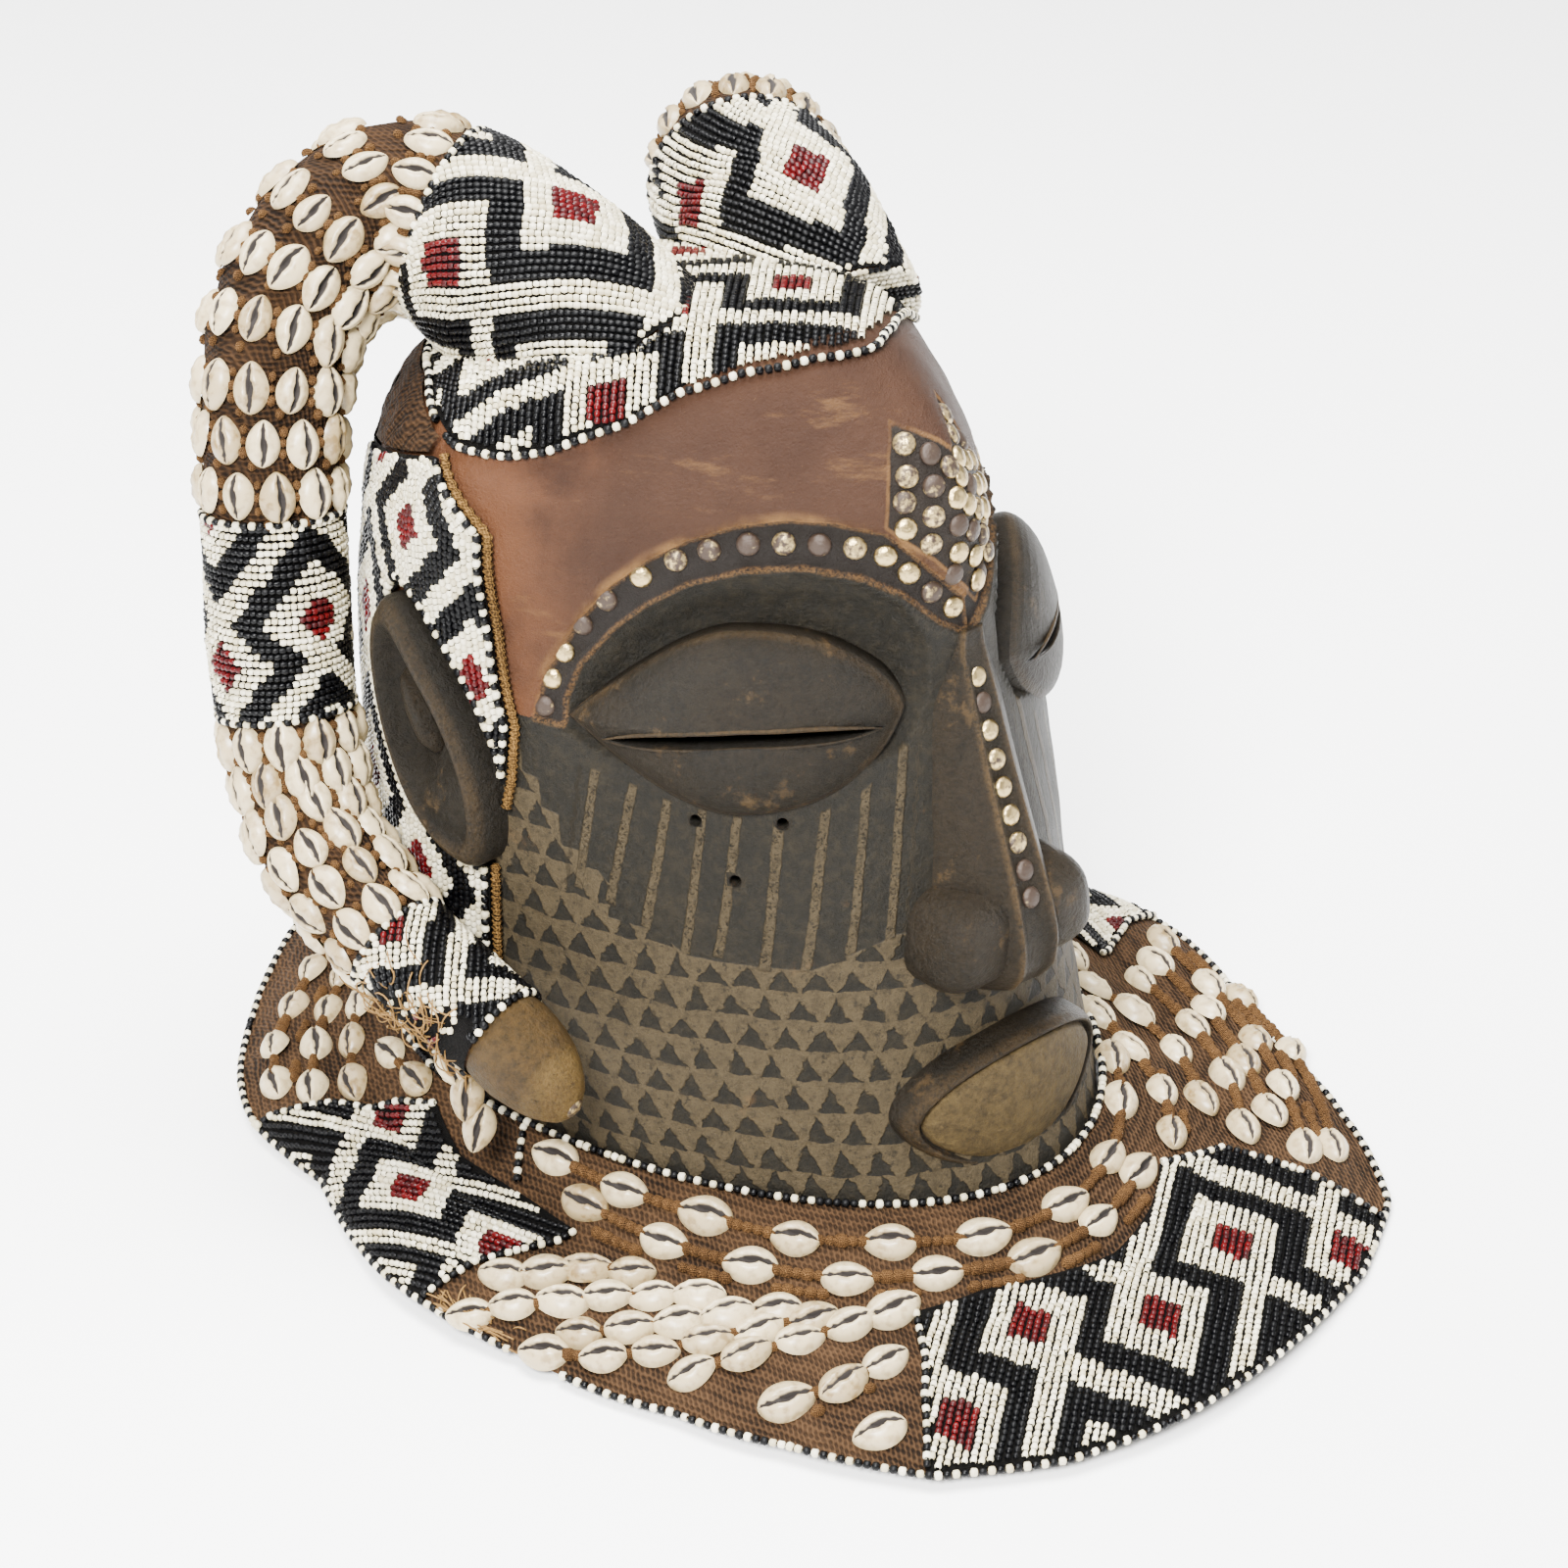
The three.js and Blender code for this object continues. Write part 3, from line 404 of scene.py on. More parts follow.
class Graph:
    """The nodes of one material."""

    def __init__(self, name: str) -> None:
        """Starts a material with an empty tree."""
        self.material = bpy.data.materials.new(name)
        self.material.use_nodes = True
        self.tree = self.material.node_tree
        self.tree.nodes.clear()

    def node(self, kind: str, settings: dict | None = None, inputs: dict | None = None,
             output: str | int = 0) -> Value:
        """Adds a node.

        Args:
            kind: Blender's name of the node type.
            settings: Properties of the node.
            inputs: Numbers, tuples, colour codes or values by socket name or number.
            output: The socket that is wanted.

        Returns:
            The wanted output.
        """
        made = self.tree.nodes.new(kind)
        for key, value in (settings or {}).items():
            setattr(made, key, value)
        for key, value in (inputs or {}).items():
            if isinstance(value, Value):
                self.tree.links.new(value.socket, made.inputs[key])
            elif made.inputs[key].type == "RGBA":
                made.inputs[key].default_value = (*(tint(value) if isinstance(value, str) else value), 1.0)
            else:
                made.inputs[key].default_value = value
        return Value(self, made.outputs[output])

    def mark(self, name: str) -> Value:
        """A value kept for the points of the mesh."""
        return self.node("ShaderNodeAttribute", {"attribute_name": name}, output="Fac")

    def place(self) -> Value:
        """Where the surface is, in metres."""
        return self.node("ShaderNodeTexCoord", output="Object")

    def noise(self, scale: float, detail: float = 4.0, stretch: tuple | None = None,
              rough: float = 0.55) -> Value:
        """Cloudy noise in space, from 0 to 1.

        Args:
            scale: Humps in a metre.
            detail: Finer layers.
            stretch: Multiplies the three directions first.
            rough: Strength of the finer layers.

        Returns:
            The noise.
        """
        where = self.place()
        if stretch:
            where = self.node("ShaderNodeVectorMath", {"operation": "MULTIPLY"}, {0: where, 1: stretch})
        return self.node("ShaderNodeTexNoise", {}, {"Vector": where, "Scale": scale, "Detail": detail,
                                                    "Roughness": rough})

    def blend(self, factor: float | Value, a: tuple | str | Value, b: tuple | str | Value) -> Value:
        """A colour between two, from a at 0 to b at 1."""
        return self.node("ShaderNodeMix", {"data_type": "RGBA"}, {0: factor, 6: a, 7: b}, output=2)

    def bump(self, height: Value, distance: float, strength: float = 1.0) -> Value:
        """A normal from a height in 0 to 1, with its real distance in metres."""
        return self.node("ShaderNodeBump", {}, {"Height": height, "Distance": distance, "Strength": strength})

    def surface(self, inputs: dict) -> bpy.types.Material:
        """Ends the material.

        Args:
            inputs: Values for the sockets of the surface shader.

        Returns:
            The material.
        """
        shader = self.node("ShaderNodeBsdfPrincipled", {}, inputs, "BSDF")
        end = self.tree.nodes.new("ShaderNodeOutputMaterial")
        self.tree.links.new(shader.socket, end.inputs["Surface"])
        return self.material


def tint(code: str) -> tuple[float, float, float]:
    """A colour in linear light from its usual six-letter code."""
    parts = [int(code[i:i + 2], 16) / 255 for i in (0, 2, 4)]
    return tuple(p / 12.92 if p <= 0.04045 else ((p + 0.055) / 1.055) ** 2.4 for p in parts)


def times(code: str, share: float) -> tuple:
    """A colour made darker or lighter, in linear light."""
    return tuple(min(1.0, c * share) for c in tint(code))


@dataclass(frozen=True)
class BeadGlass:
    """Small opaque glass beads of one colour, each a little different."""

    name: str
    colour: str
    other: str
    rough: float = 0.3
    shine: float = 0.4

    def make(self) -> bpy.types.Material:
        """Makes the material."""
        g = Graph(self.name)
        tone = g.mark("tone")
        grime = g.noise(55.0, 3.0).step(0.45, 0.75)
        colour = g.blend(tone, self.colour, self.other)
        colour = g.blend(grime * 0.35, colour, times(self.colour, 0.62))
        return g.surface({"Base Color": colour, "Roughness": tone * 0.2 + self.rough,
                          "Specular IOR Level": self.shine})


@dataclass(frozen=True)
class PaintedWood:
    """The carved and painted skin of the helmet."""

    dark: str = "0f0d08"
    smoke: str = "211c12"
    tan: str = "3a3121"
    copper: str = "301c0f"
    copper_deep: str = "241207"
    copper_warm: str = "4f2f1a"
    gold: str = "6a4c2a"
    band: str = "15100c"
    plaque: str = "1a140f"

    def make(self) -> bpy.types.Material:
        """Makes the material."""
        g = Graph("painted_wood")
        wander = g.noise(210.0, 3.0) - 0.5
        sway = g.noise(90.0, 3.0) - 0.5
        fine = g.noise(900.0, 3.0, rough=0.7)
        cloud = g.noise(28.0, 5.0)
        streak = g.noise(60.0, 4.0, (1.0, 1.0, 0.12))
        across = g.mark("across") + wander * 6.0
        upward = g.mark("upward") + sway * 6.0
        row = (upward / 13.0).floor()
        lift = (upward / 13.0).fract()
        place = abs((across / 13.8 + row * 0.5).fract() - 0.5)
        cell = (across / 13.8 + row * 0.5).floor()
        odd = g.node("ShaderNodeTexWhiteNoise", {"noise_dimensions": "2D"},
                     {"Vector": g.node("ShaderNodeCombineXYZ", {}, {0: cell, 1: row})}, "Value")
        tooth = ((odd * 0.14 + 0.33) * (1 - lift / (odd * -0.2 + 0.86)) - place).step(-0.03, 0.03)
        hanging = (0.40 * (lift / 0.8) - place).step(-0.02, 0.02)
        low = upward.step(52.1, 51.9)
        drawn = tooth * (1 - low) + (1 - hanging) * low
        mottle = g.noise(240.0, 6.0, rough=0.75)
        dark = g.blend(mottle.step(0.4, 0.72) * 0.7 + cloud.step(0.45, 0.8) * 0.3, self.dark, self.smoke)
        tan = g.blend(fine.step(0.4, 0.75) * 0.4 + mottle.step(0.42, 0.66) * 0.6, self.tan,
                      times(self.tan, 0.42))
        tan = g.blend(g.noise(330.0, 4.0, rough=0.7).step(0.56, 0.68) * 0.75, tan, self.dark)
        ground = (g.mark("ground") + wander * 1.5).step(0.4, -0.4)
        painted = g.blend(drawn, tan, dark)
        colour = g.blend(ground, dark, painted)
        fan = g.mark("fan") + wander * 0.12
        stripe = (0.13 - abs((fan + 0.5).fract() - 0.5)).step(-0.02, 0.03)
        run = g.mark("run")
        stripe = stripe * run.step(-0.01, 0.02) * run.step(1.02, 1.0) * fine.step(0.33, 0.47)
        colour = g.blend(stripe, colour, tan)
        ledge = g.mark("ledge") + wander * 0.8
        copper = g.blend(cloud.step(0.35, 0.75) * 0.6 + streak * 0.25, self.copper, self.copper_deep)
        warm = abs(g.mark("across")).step(150.0, 200.0) * cloud.step(0.75, 0.35)
        copper = g.blend(warm * 0.8, copper, self.copper_warm)
        copper = g.blend(fine.step(0.64, 0.8) * 0.4, copper, self.gold)
        scratch = g.noise(34.0, 9.0, (0.35, 0.35, 1.6), 0.75).step(0.55, 0.66)
        copper = g.blend(scratch * 0.3, copper, self.gold)
        worn = ledge.step(5.0, 0.6) * cloud.step(0.42, 0.62)
        copper = g.blend(worn * 0.8, copper, self.gold)
        colour = g.blend(ledge.step(-0.3, 0.3), colour, copper)
        band = (g.mark("band") + wander * 0.8).step(0.5, -0.5)
        colour = g.blend(band, colour, g.blend(cloud, self.band, times(self.band, 0.6)))
        edge = abs(g.mark("band") + 0.2).step(1.6, 0.3) * fine.step(0.35, 0.65)
        colour = g.blend(edge * 0.45, colour, self.gold)
        plaque = (g.mark("plaque") + wander).step(0.5, -0.5)
        colour = g.blend(plaque, colour, g.blend(cloud, self.plaque, times(self.plaque, 0.6)))
        edge = abs(g.mark("plaque") - 0.5).step(1.3, 0.2) * cloud.step(0.3, 0.55)
        colour = g.blend(edge * 0.6, colour, self.gold)
        scuff = g.noise(22.0, 8.0, rough=0.7).step(0.62, 0.72) * 0.35
        colour = g.blend(scuff, colour, g.blend(0.5, self.gold, self.tan))
        height = fine * 0.35 + streak * 0.4 + stripe * 0.4 + ground * (1 - drawn) * 0.4
        return g.surface({"Base Color": colour, "Roughness": cloud * 0.25 + 0.38 + ground * 0.12,
                          "Normal": g.bump(height * 0.7 + mottle * 0.5, 0.0032), "Specular IOR Level": 0.14})


@dataclass(frozen=True)
class PlainWood:
    """Wood without drawing on it, with worn high places and grain."""

    name: str
    colour: str
    deep: str
    worn: str
    wear: float = 0.5
    rough: float = 0.42
    shine: float = 0.12

    def make(self) -> bpy.types.Material:
        """Makes the material."""
        g = Graph(self.name)
        cloud = g.noise(30.0, 5.0)
        fine = g.noise(700.0, 4.0, rough=0.65)
        streak = g.noise(70.0, 5.0, (1.0, 1.0, 0.15))
        mottle = g.noise(260.0, 6.0, rough=0.75)
        colour = g.blend(mottle.step(0.35, 0.7) * 0.7 + streak * 0.4, self.colour, self.deep)
        rub = g.mark("wear") * (fine.step(0.3, 0.6) * 0.6 + cloud.step(0.4, 0.6) * 0.4)
        chips = g.noise(36.0, 9.0, rough=0.75).step(0.57, 0.66) * 0.4
        colour = g.blend((rub * self.wear).most(chips), colour, self.worn)
        return g.surface({"Base Color": colour, "Roughness": cloud * 0.2 + self.rough,
                          "Normal": g.bump(fine * 0.3 + streak * 0.5 + mottle * 0.5, 0.0032),
                          "Specular IOR Level": self.shine})


@dataclass(frozen=True)
class WovenCloth:
    """Plain-woven raffia, with threads that cross."""

    name: str
    light: str
    dark: str
    threads: float = 520.0
    turn: float = 0.0

    def make(self) -> bpy.types.Material:
        """Makes the material."""
        g = Graph(self.name)
        where = g.node("ShaderNodeVectorRotate", {"rotation_type": "Z_AXIS"},
                       {"Vector": g.place(), "Angle": self.turn})
        bands = [g.node("ShaderNodeTexWave", {"bands_direction": way, "wave_profile": "SIN"},
                        {"Vector": where, "Scale": self.threads, "Distortion": 6.0, "Detail": 2.0,
                         "Detail Scale": 0.4}, output="Fac") for way in ("X", "DIAGONAL", "Z")]
        weave = bands[0] * 0.4 + bands[1] * 0.3 + bands[2] * 0.3
        cloud = g.noise(45.0, 5.0)
        fine = g.noise(1100.0, 3.0)
        colour = g.blend(weave.step(0.2, 0.8) * 0.65 + cloud.step(0.3, 0.7) * 0.35, self.dark, self.light)
        colour = g.blend(fine.step(0.6, 0.8) * 0.4, colour, times(self.light, 1.6))
        return g.surface({"Base Color": colour, "Roughness": 0.85, "Specular IOR Level": 0.08,
                          "Normal": g.bump(weave * 0.8 + fine * 0.2, 0.0024)})


@dataclass(frozen=True)
class CowrieShell:
    """Glossy cream shell; its slit is painted near-black as shade inside the shell's opening."""

    light: str = "b5a480"
    dull: str = "6f5a36"
    # painted shade: near-black for the shadow inside the slit's opening
    slit: str = "140c07"

    def make(self) -> bpy.types.Material:
        """Makes the material."""
        g = Graph("cowrie_shell")
        tone, slit = g.mark("tone"), g.mark("slit")
        fine = g.noise(260.0, 4.0)
        colour = g.blend(tone * 0.7 + fine.step(0.45, 0.7) * 0.45, self.light, self.dull)
        # Painted shade: the slit is darkened where the shadow inside the opening would fall.
        colour = g.blend(slit.step(0.2, 0.45), colour, self.slit)
        return g.surface({"Base Color": colour, "Roughness": fine * 0.2 + slit.step(0.1, 0.4) * 0.55 + 0.25})


@dataclass(frozen=True)
class Brass:
    """Upholstery tacks: brass, tarnished unevenly."""

    bright: str = "b09a6c"
    dull: str = "2c1f15"

    def make(self) -> bpy.types.Material:
        """Makes the material."""
        g = Graph("tack_brass")
        tone = g.mark("tone")
        spots = g.noise(420.0, 4.0)
        tarnish = (spots + tone * 0.6 - 0.3).step(0.35, 0.6)
        colour = g.blend(tarnish, self.bright, self.dull)
        return g.surface({"Base Color": colour, "Metallic": 1 - tarnish * 0.6,
                          "Roughness": tarnish * 0.25 + 0.3, "Normal": g.bump(spots, 0.0008, 0.7)})


@dataclass(frozen=True)
class Studio:
    """The plain floor's finish."""

    light: tuple = (0.97, 0.97, 0.965)
    shade: tuple = (0.9506, 0.9506, 0.9457)

    def make(self) -> bpy.types.Material:
        """Makes the material."""
        g = Graph("studio_floor")
        return g.surface({"Base Color": g.blend(g.noise(3.0, 2.0), self.light, self.shade), "Roughness": 0.9})


class Palette:
    """All materials, each made once."""

    def __init__(self) -> None:
        """Makes the materials."""
        self.beads = [BeadGlass("white_beads", "d9d1b8", "a89d7c", 0.28).make(),
                      BeadGlass("black_beads", "010102", "040405", 0.3, 0.12).make(),
                      BeadGlass("red_beads", "4a0508", "250103", 0.25, 0.2).make()]
        self.painted = PaintedWood().make()
        self.carved = PlainWood("carved_dark_wood", "13100a", "050402", "4d3b22", 0.6, 0.34).make()
        self.tan_carved = PlainWood("carved_tan_wood", "453820", "18120a", "5f4f30", 0.5, 0.5).make()
        self.bare = PlainWood("bare_inner_wood", "5c4226", "352412", "73583a", 0.2, 0.7).make()
        self.tip = PlainWood("trunk_tip_wood", "382811", "0d0903", "5e4a26", 0.6, 0.38).make()
        self.raffia = WovenCloth("raffia_cloth", "352415", "090503", 160.0).make()
        self.collar_cloth = WovenCloth("collar_cloth", "43301f", "0f0905", 170.0, 0.5).make()
        self.black_cloth = WovenCloth("black_backing", "0c0a08", "020202", 600.0).make()
        self.knots = WovenCloth("raffia_knots", "70502f", "372412", 500.0).make()
        self.braid = WovenCloth("gold_braid", "7a5a2e", "241709", 300.0).make()
        self.thread = PlainWood("raffia_thread", "8a6a3c", "5d4322", "a58752", 0.3, 0.7).make()
        self.cowrie = CowrieShell().make()
        self.brass = Brass().make()


@dataclass
class HeadShape:
    """The carved outside of the head: a loop round the head for each height, with even places on it."""

    rows: tuple = (
        (0, -181, 150, 136, 30, 1.7, .5), (38, -178, 152, 136, 30, 1.7, .5),
        (60, -168, 155, 136, 30, 1.7, .5), (100, -155, 160, 136, 30, 1.65, .5),
        (160, -148, 168, 135, 30, 1.5, .5), (210, -137, 170, 133, 30, 1.4, .5),
        (240, -131, 168, 132, 30, 1.28, .52), (286, -130.5, 160, 128, 25, 1.2, .6),
        (320, -132.5, 142, 122, 18, 1.15, .75), (343, -124, 116, 107, 8, 1.12, .84),
        (357, -109.5, 88, 88, -2, 1.15, .84), (366, -92, 60, 66, -12, 1.2, .74),
        (372, -74, 28, 43, -24, 1.4, .62), (375, -56, -8, 20, -34, 1.6, .52))
    soften: float = 6.0
    places: int = 401

    def __post_init__(self) -> None:
        """Works out the loops, a millimetre of height apart."""
        heights = np.arange(TOP + 1)
        table = np.array(self.rows, float)
        columns = [np.interp(heights, table[:, 0], table[:, k]) for k in range(7)]
        turn = np.pi * np.arange(241) / 240
        t, ahead = np.abs(np.cos(turn)), turn < np.pi / 2
        xs, ys = np.zeros((2, TOP + 1, self.places))
        for i in heights:
            _, front, back, half, wide, prow, edge = [c[i] for c in columns]
            y = np.where(ahead, wide - (wide - front) * t, wide + (back - wide) * t)
            x = half * np.maximum(0, 1 - t ** np.where(ahead, prow, 2)) ** np.where(ahead, edge, 0.5)
            x, y, length = self.evened(x, y, 161)
            reach = int(round(np.interp(i, [240, 300], [5, 24]) / length * 160))
            weight = reach + 1.0 - np.abs(np.arange(-reach, reach + 1))
            weight /= weight.sum()
            x = np.convolve(np.concatenate([-x[reach:0:-1], x, -x[-2:-reach - 2:-1]]), weight, "valid")
            y = np.convolve(np.concatenate([y[reach:0:-1], y, y[-2:-reach - 2:-1]]), weight, "valid")
            xs[i], ys[i], _ = self.evened(x, y, self.places)
        reach = int(3 * self.soften)
        bell = np.exp(-0.5 * (np.arange(-reach, reach + 1) / self.soften) ** 2)
        bell /= bell.sum()
        for grid in (xs, ys):
            padded = np.pad(grid, ((reach, reach), (0, 0)), "edge")
            for k in range(reach):
                padded[-1 - k] = grid[-1] + (grid[-1] - grid[-2]) * (reach - k) * 0.3
            for j in range(self.places):
                grid[:, j] = np.convolve(padded[:, j], bell, "valid")
        self.xs, self.ys = xs, ys

    @staticmethod
    def evened(x: np.ndarray, y: np.ndarray, count: int) -> tuple[np.ndarray, np.ndarray, float]:
        """Even places along a plane line, with its length."""
        run = np.concatenate([[0], np.cumsum(np.hypot(np.diff(x), np.diff(y)))])
        at = np.linspace(0, run[-1], count)
        return np.interp(at, run, x), np.interp(at, run, y), float(run[-1])

    def point(self, place: np.ndarray, z: np.ndarray) -> np.ndarray:
        """Points of the surface.

        Args:
            place: Share of the way from the front to the back, minus on the right side, plus on the left.
            z: Heights.

        Returns:
            Array ending in 3.
        """
        place, z = np.broadcast_arrays(np.asarray(place, float), np.asarray(z, float))
        turn = (place + 1) % 2 - 1
        a, zi = np.abs(turn) * (self.places - 1), np.clip(z, 0, TOP)
        j, i = np.minimum(a.astype(int), self.places - 2), np.minimum(zi.astype(int), TOP - 1)
        u, v = a - j, zi - i
        x, y = [mix(mix(g[i, j], g[i, j + 1], u), mix(g[i + 1, j], g[i + 1, j + 1], u), v)
                for g in (self.xs, self.ys)]
        share = line([240, 290, 343], [1, 0.92, 0.85], zi)
        lean = line([260, 320, 375], [0, -5, -8], zi)
        return np.stack([np.where(turn > 0, x * share, -x) + lean, y, z + 0 * x], -1)

    def out(self, place: np.ndarray, z: np.ndarray) -> np.ndarray:
        """Outward directions of the surface."""
        place, z = np.broadcast_arrays(np.asarray(place, float), np.asarray(z, float))
        side = self.point(place + 0.008, z) - self.point(place - 0.008, z)
        rise = self.point(place, np.minimum(z + 3, TOP)) - self.point(place, np.maximum(z - 3, 0))
        return unit(np.cross(side, rise))

    def lifted(self, place: np.ndarray, z: np.ndarray, lift: np.ndarray) -> np.ndarray:
        """Points that stand off the surface."""
        return self.point(place, z) + self.out(place, z) * np.asarray(lift, float)[..., None]


def cap_edge(place: np.ndarray) -> np.ndarray:
    """How low the beaded cap comes, by place round the head."""
    places = [0, .03, .124, .256, .331, .369, .402, .434, .471, .535, .6, .68, .8, 1]
    heights = [369, 369, 368.5, 364.5, 358, 347.5, 342, 335.5, 331.5, 329, 332, 337, 334, 330]
    return line(places, heights, np.abs(place))


def hair_line(z: np.ndarray) -> np.ndarray:
    """Front edge of the beaded side panel, by height."""
    return line([98, 160, 200, 222, 262, 300, 325], [.482, .468, .44, .432, .45, .466, .548], z)


def panel_top(place: np.ndarray) -> np.ndarray:
    """Upper edge of the beaded side panel, by place round the head."""
    return line([.45, .55, .735], [326, 322, 296], place)


@dataclass
class EarPlan:
    """Where an ear sits and how large it is; it leans forward at its foot."""

    place: float = 0.517
    z: float = 211.0
    long: float = 54.0
    wide: float = 23.0
    lean: float = 0.46
    loop: float = 447.0

    def spot(self, along: np.ndarray, across: np.ndarray) -> tuple[np.ndarray, np.ndarray]:
        """Place and height of a point given along and across the ear."""
        u = along * math.sin(self.lean) + across * math.cos(self.lean)
        v = along * math.cos(self.lean) - across * math.sin(self.lean)
        return self.place + u / self.loop, self.z + v

    def outline(self, scale: float, grow: float = 0.0, steps: int = 72) -> tuple[np.ndarray, np.ndarray]:
        """Place and height round a leaf shape of that scale."""
        a = circle(steps)
        wide = np.sign(np.sin(a)) * np.abs(np.sin(a)) ** 1.2
        return self.spot((self.long * scale + grow) * np.cos(a), (self.wide * scale + grow) * wide)

    def clear(self, place: np.ndarray, z: np.ndarray, grow: float) -> np.ndarray:
        """True where a point is outside the ear."""
        ring = np.stack(self.outline(1.02, grow), -1) * [self.loop, 1]
        return edge_distance(np.stack([np.abs(place) * self.loop, z], -1), ring) > 0


def bead_form(along: Sequence[float], size: Sequence[float], turn: np.ndarray) -> np.ndarray:
    """Points of one bead with its hole along x: a ring or an arc of points at each place along it."""
    return np.stack([np.repeat(along, len(turn)), np.outer(size, np.cos(turn)).ravel(),
                     np.outer(size, np.sin(turn)).ravel()], -1)


def set_beads(shell: Shell, form: tuple, spots: np.ndarray, axes: tuple, sizes: tuple, colour: np.ndarray,
              tone: np.ndarray) -> None:
    """Adds one bead at every spot.

    Args:
        shell: Takes the beads.
        form: Points and faces of one bead.
        spots: Middles of the beads.
        axes: Their directions along the hole, across it and up from the cloth.
        sizes: Their sizes along the three directions.
        colour: Their colour numbers.
        tone: Their shares of the glass's second tone.
    """
    part, faces = form
    points = spots[:, None] + sum(axis[:, None] * (part[None, :, k:k + 1] * size[:, None, None])
                                  for k, (axis, size) in enumerate(zip(axes, sizes)))
    faces = (faces[None] + len(part) * np.arange(len(spots))[:, None, None]).reshape(-1, 4)
    shell.add(points, faces, np.repeat(colour, len(form[1])), tone=np.repeat(tone, len(part)))


@dataclass
class BeadWork:
    """Small beads on strings, sewn flat to a cloth."""

    pitch: float = 2.75
    row: float = 3.0
    radius: float = 1.5
    uneven: float = 0.12
    seed: int = SEED

    def __post_init__(self) -> None:
        """Works out one bead, lying along x with z up and open below."""
        self.rng = np.random.default_rng(self.seed)
        arc = np.radians(np.linspace(-28, 208, 4))
        self.form = bead_form((-0.5, 0.0, 0.5), (0.66, 1.0, 0.66), arc), grid_faces(3, 4, flip=True)

    def interlace(self, x: np.ndarray, y: np.ndarray) -> np.ndarray:
        """Colour numbers of the interlace: framed red squares joined by white bands on black.

        Args:
            x: First coordinate in pattern units.
            y: Second coordinate.

        Returns:
            A colour number for each point.
        """
        n = np.round(np.stack([(x + y) / 13.0, (x - y) / 9.0]))
        x = x - n[0] * 6.5 - n[1] * 4.5
        y = y - n[0] * 6.5 + n[1] * 4.5
        white, red = np.zeros(x.shape, bool), np.zeros(x.shape, bool)
        for i in range(-2, 3):
            for j in range(-2, 3):
                ax, ay = x - i * 6.5 - j * 4.5, y - i * 6.5 + j * 4.5
                for bx, by in ((1.75, 1.75), (6.25, 3.75)):
                    off = np.maximum(np.abs(ax - bx), np.abs(ay - by))
                    white |= off < 1.75
                    red |= off < 0.72
                white |= (ax >= 3.5) & (ax < 9) & (ay >= 0) & (ay < 1)
                white |= (ax >= 2.5) & (ax < 3.5) & (ay >= -5.5) & (ay < 0)
        return np.where(red, Bead.RED.value, np.where(white, Bead.WHITE.value, Bead.BLACK.value))

    def string(self, shell: Shell, path: np.ndarray, up: np.ndarray, paint: Callable,
               keep: Callable | None = None) -> None:
        """Threads beads along one path.

        Args:
            shell: Takes the beads.
            path: Dense points of the string.
            up: Direction away from the cloth at each point.
            paint: Gives colour numbers from path positions.
            keep: Gives True for the positions that hold a bead.
        """
        if len(path) < 3:
            return
        at, _ = even_walk(path, self.pitch, 0.5 + self.rng.uniform(-0.2, 0.2))
        if not len(at):
            return
        centres, up, colour = pick(path, at), unit(pick(up, at)), paint(at)
        along = unit(pick(np.gradient(path, axis=0), at))
        if keep is not None:
            held = keep(at)
            centres, up, along, colour = centres[held], up[held], along[held], colour[held]
        count = len(centres)
        if not count:
            return
        along = unit(along + self.rng.normal(0, 0.05, (count, 3)))
        across = unit(np.cross(up, along))
        up = np.cross(along, across)
        long = self.pitch * 0.95 * self.rng.uniform(0.86, 1.06, count)
        wide = self.radius * self.rng.uniform(0.9, 1.08, count)
        lift, shift = self.rng.normal(0, self.uneven, (count, 1)), self.rng.normal(0, self.uneven, (count, 1))
        set_beads(shell, self.form, centres + up * lift + across * shift, (along, across, up),
                  (long, wide, wide), colour, self.rng.random(count))


@dataclass
class Edging:
    """Larger beads, black and white by turns, whipped over an edge."""

    pitch: float = 3.4
    radius: float = 1.7
    seed: int = 11

    def __post_init__(self) -> None:
        """Works out one bead, with its hole along x."""
        self.rng = np.random.default_rng(self.seed)
        self.form = (bead_form((-0.5, -0.3, 0.3, 0.5), (0.55, 1.0, 1.0, 0.55), circle(7)),
                     grid_faces(4, 7, True, flip=True))

    def run(self, shell: Shell, path: np.ndarray, up: np.ndarray, gaps: Sequence[tuple] = ()) -> None:
        """Sews beads along a path.

        Args:
            shell: Takes the beads.
            path: Points of the edge.
            up: Direction away from the work at each point.
            gaps: Shares of the path where beads are lost.
        """
        at, run = even_walk(path, self.pitch)
        share = run / max(run[-1], 1e-9)
        held = np.ones(len(at), bool)
        for a, b in gaps:
            held &= (share < a) | (share > b)
        colour = np.arange(len(at)) % 2
        colour = np.where(self.rng.random(len(at)) < 0.06, 1 - colour, colour)
        at, colour = at[held], colour[held]
        count = len(at)
        along = unit(unit(pick(np.gradient(path, axis=0), at)) + self.rng.normal(0, 0.12, (count, 3)))
        across = unit(np.cross(unit(pick(up, at)), along))
        wide = self.radius * self.rng.uniform(0.88, 1.08, count)
        set_beads(shell, self.form, pick(path, at), (along, across, np.cross(along, across)),
                  (np.full(count, self.pitch * 0.86), wide, wide), colour, self.rng.random(count))


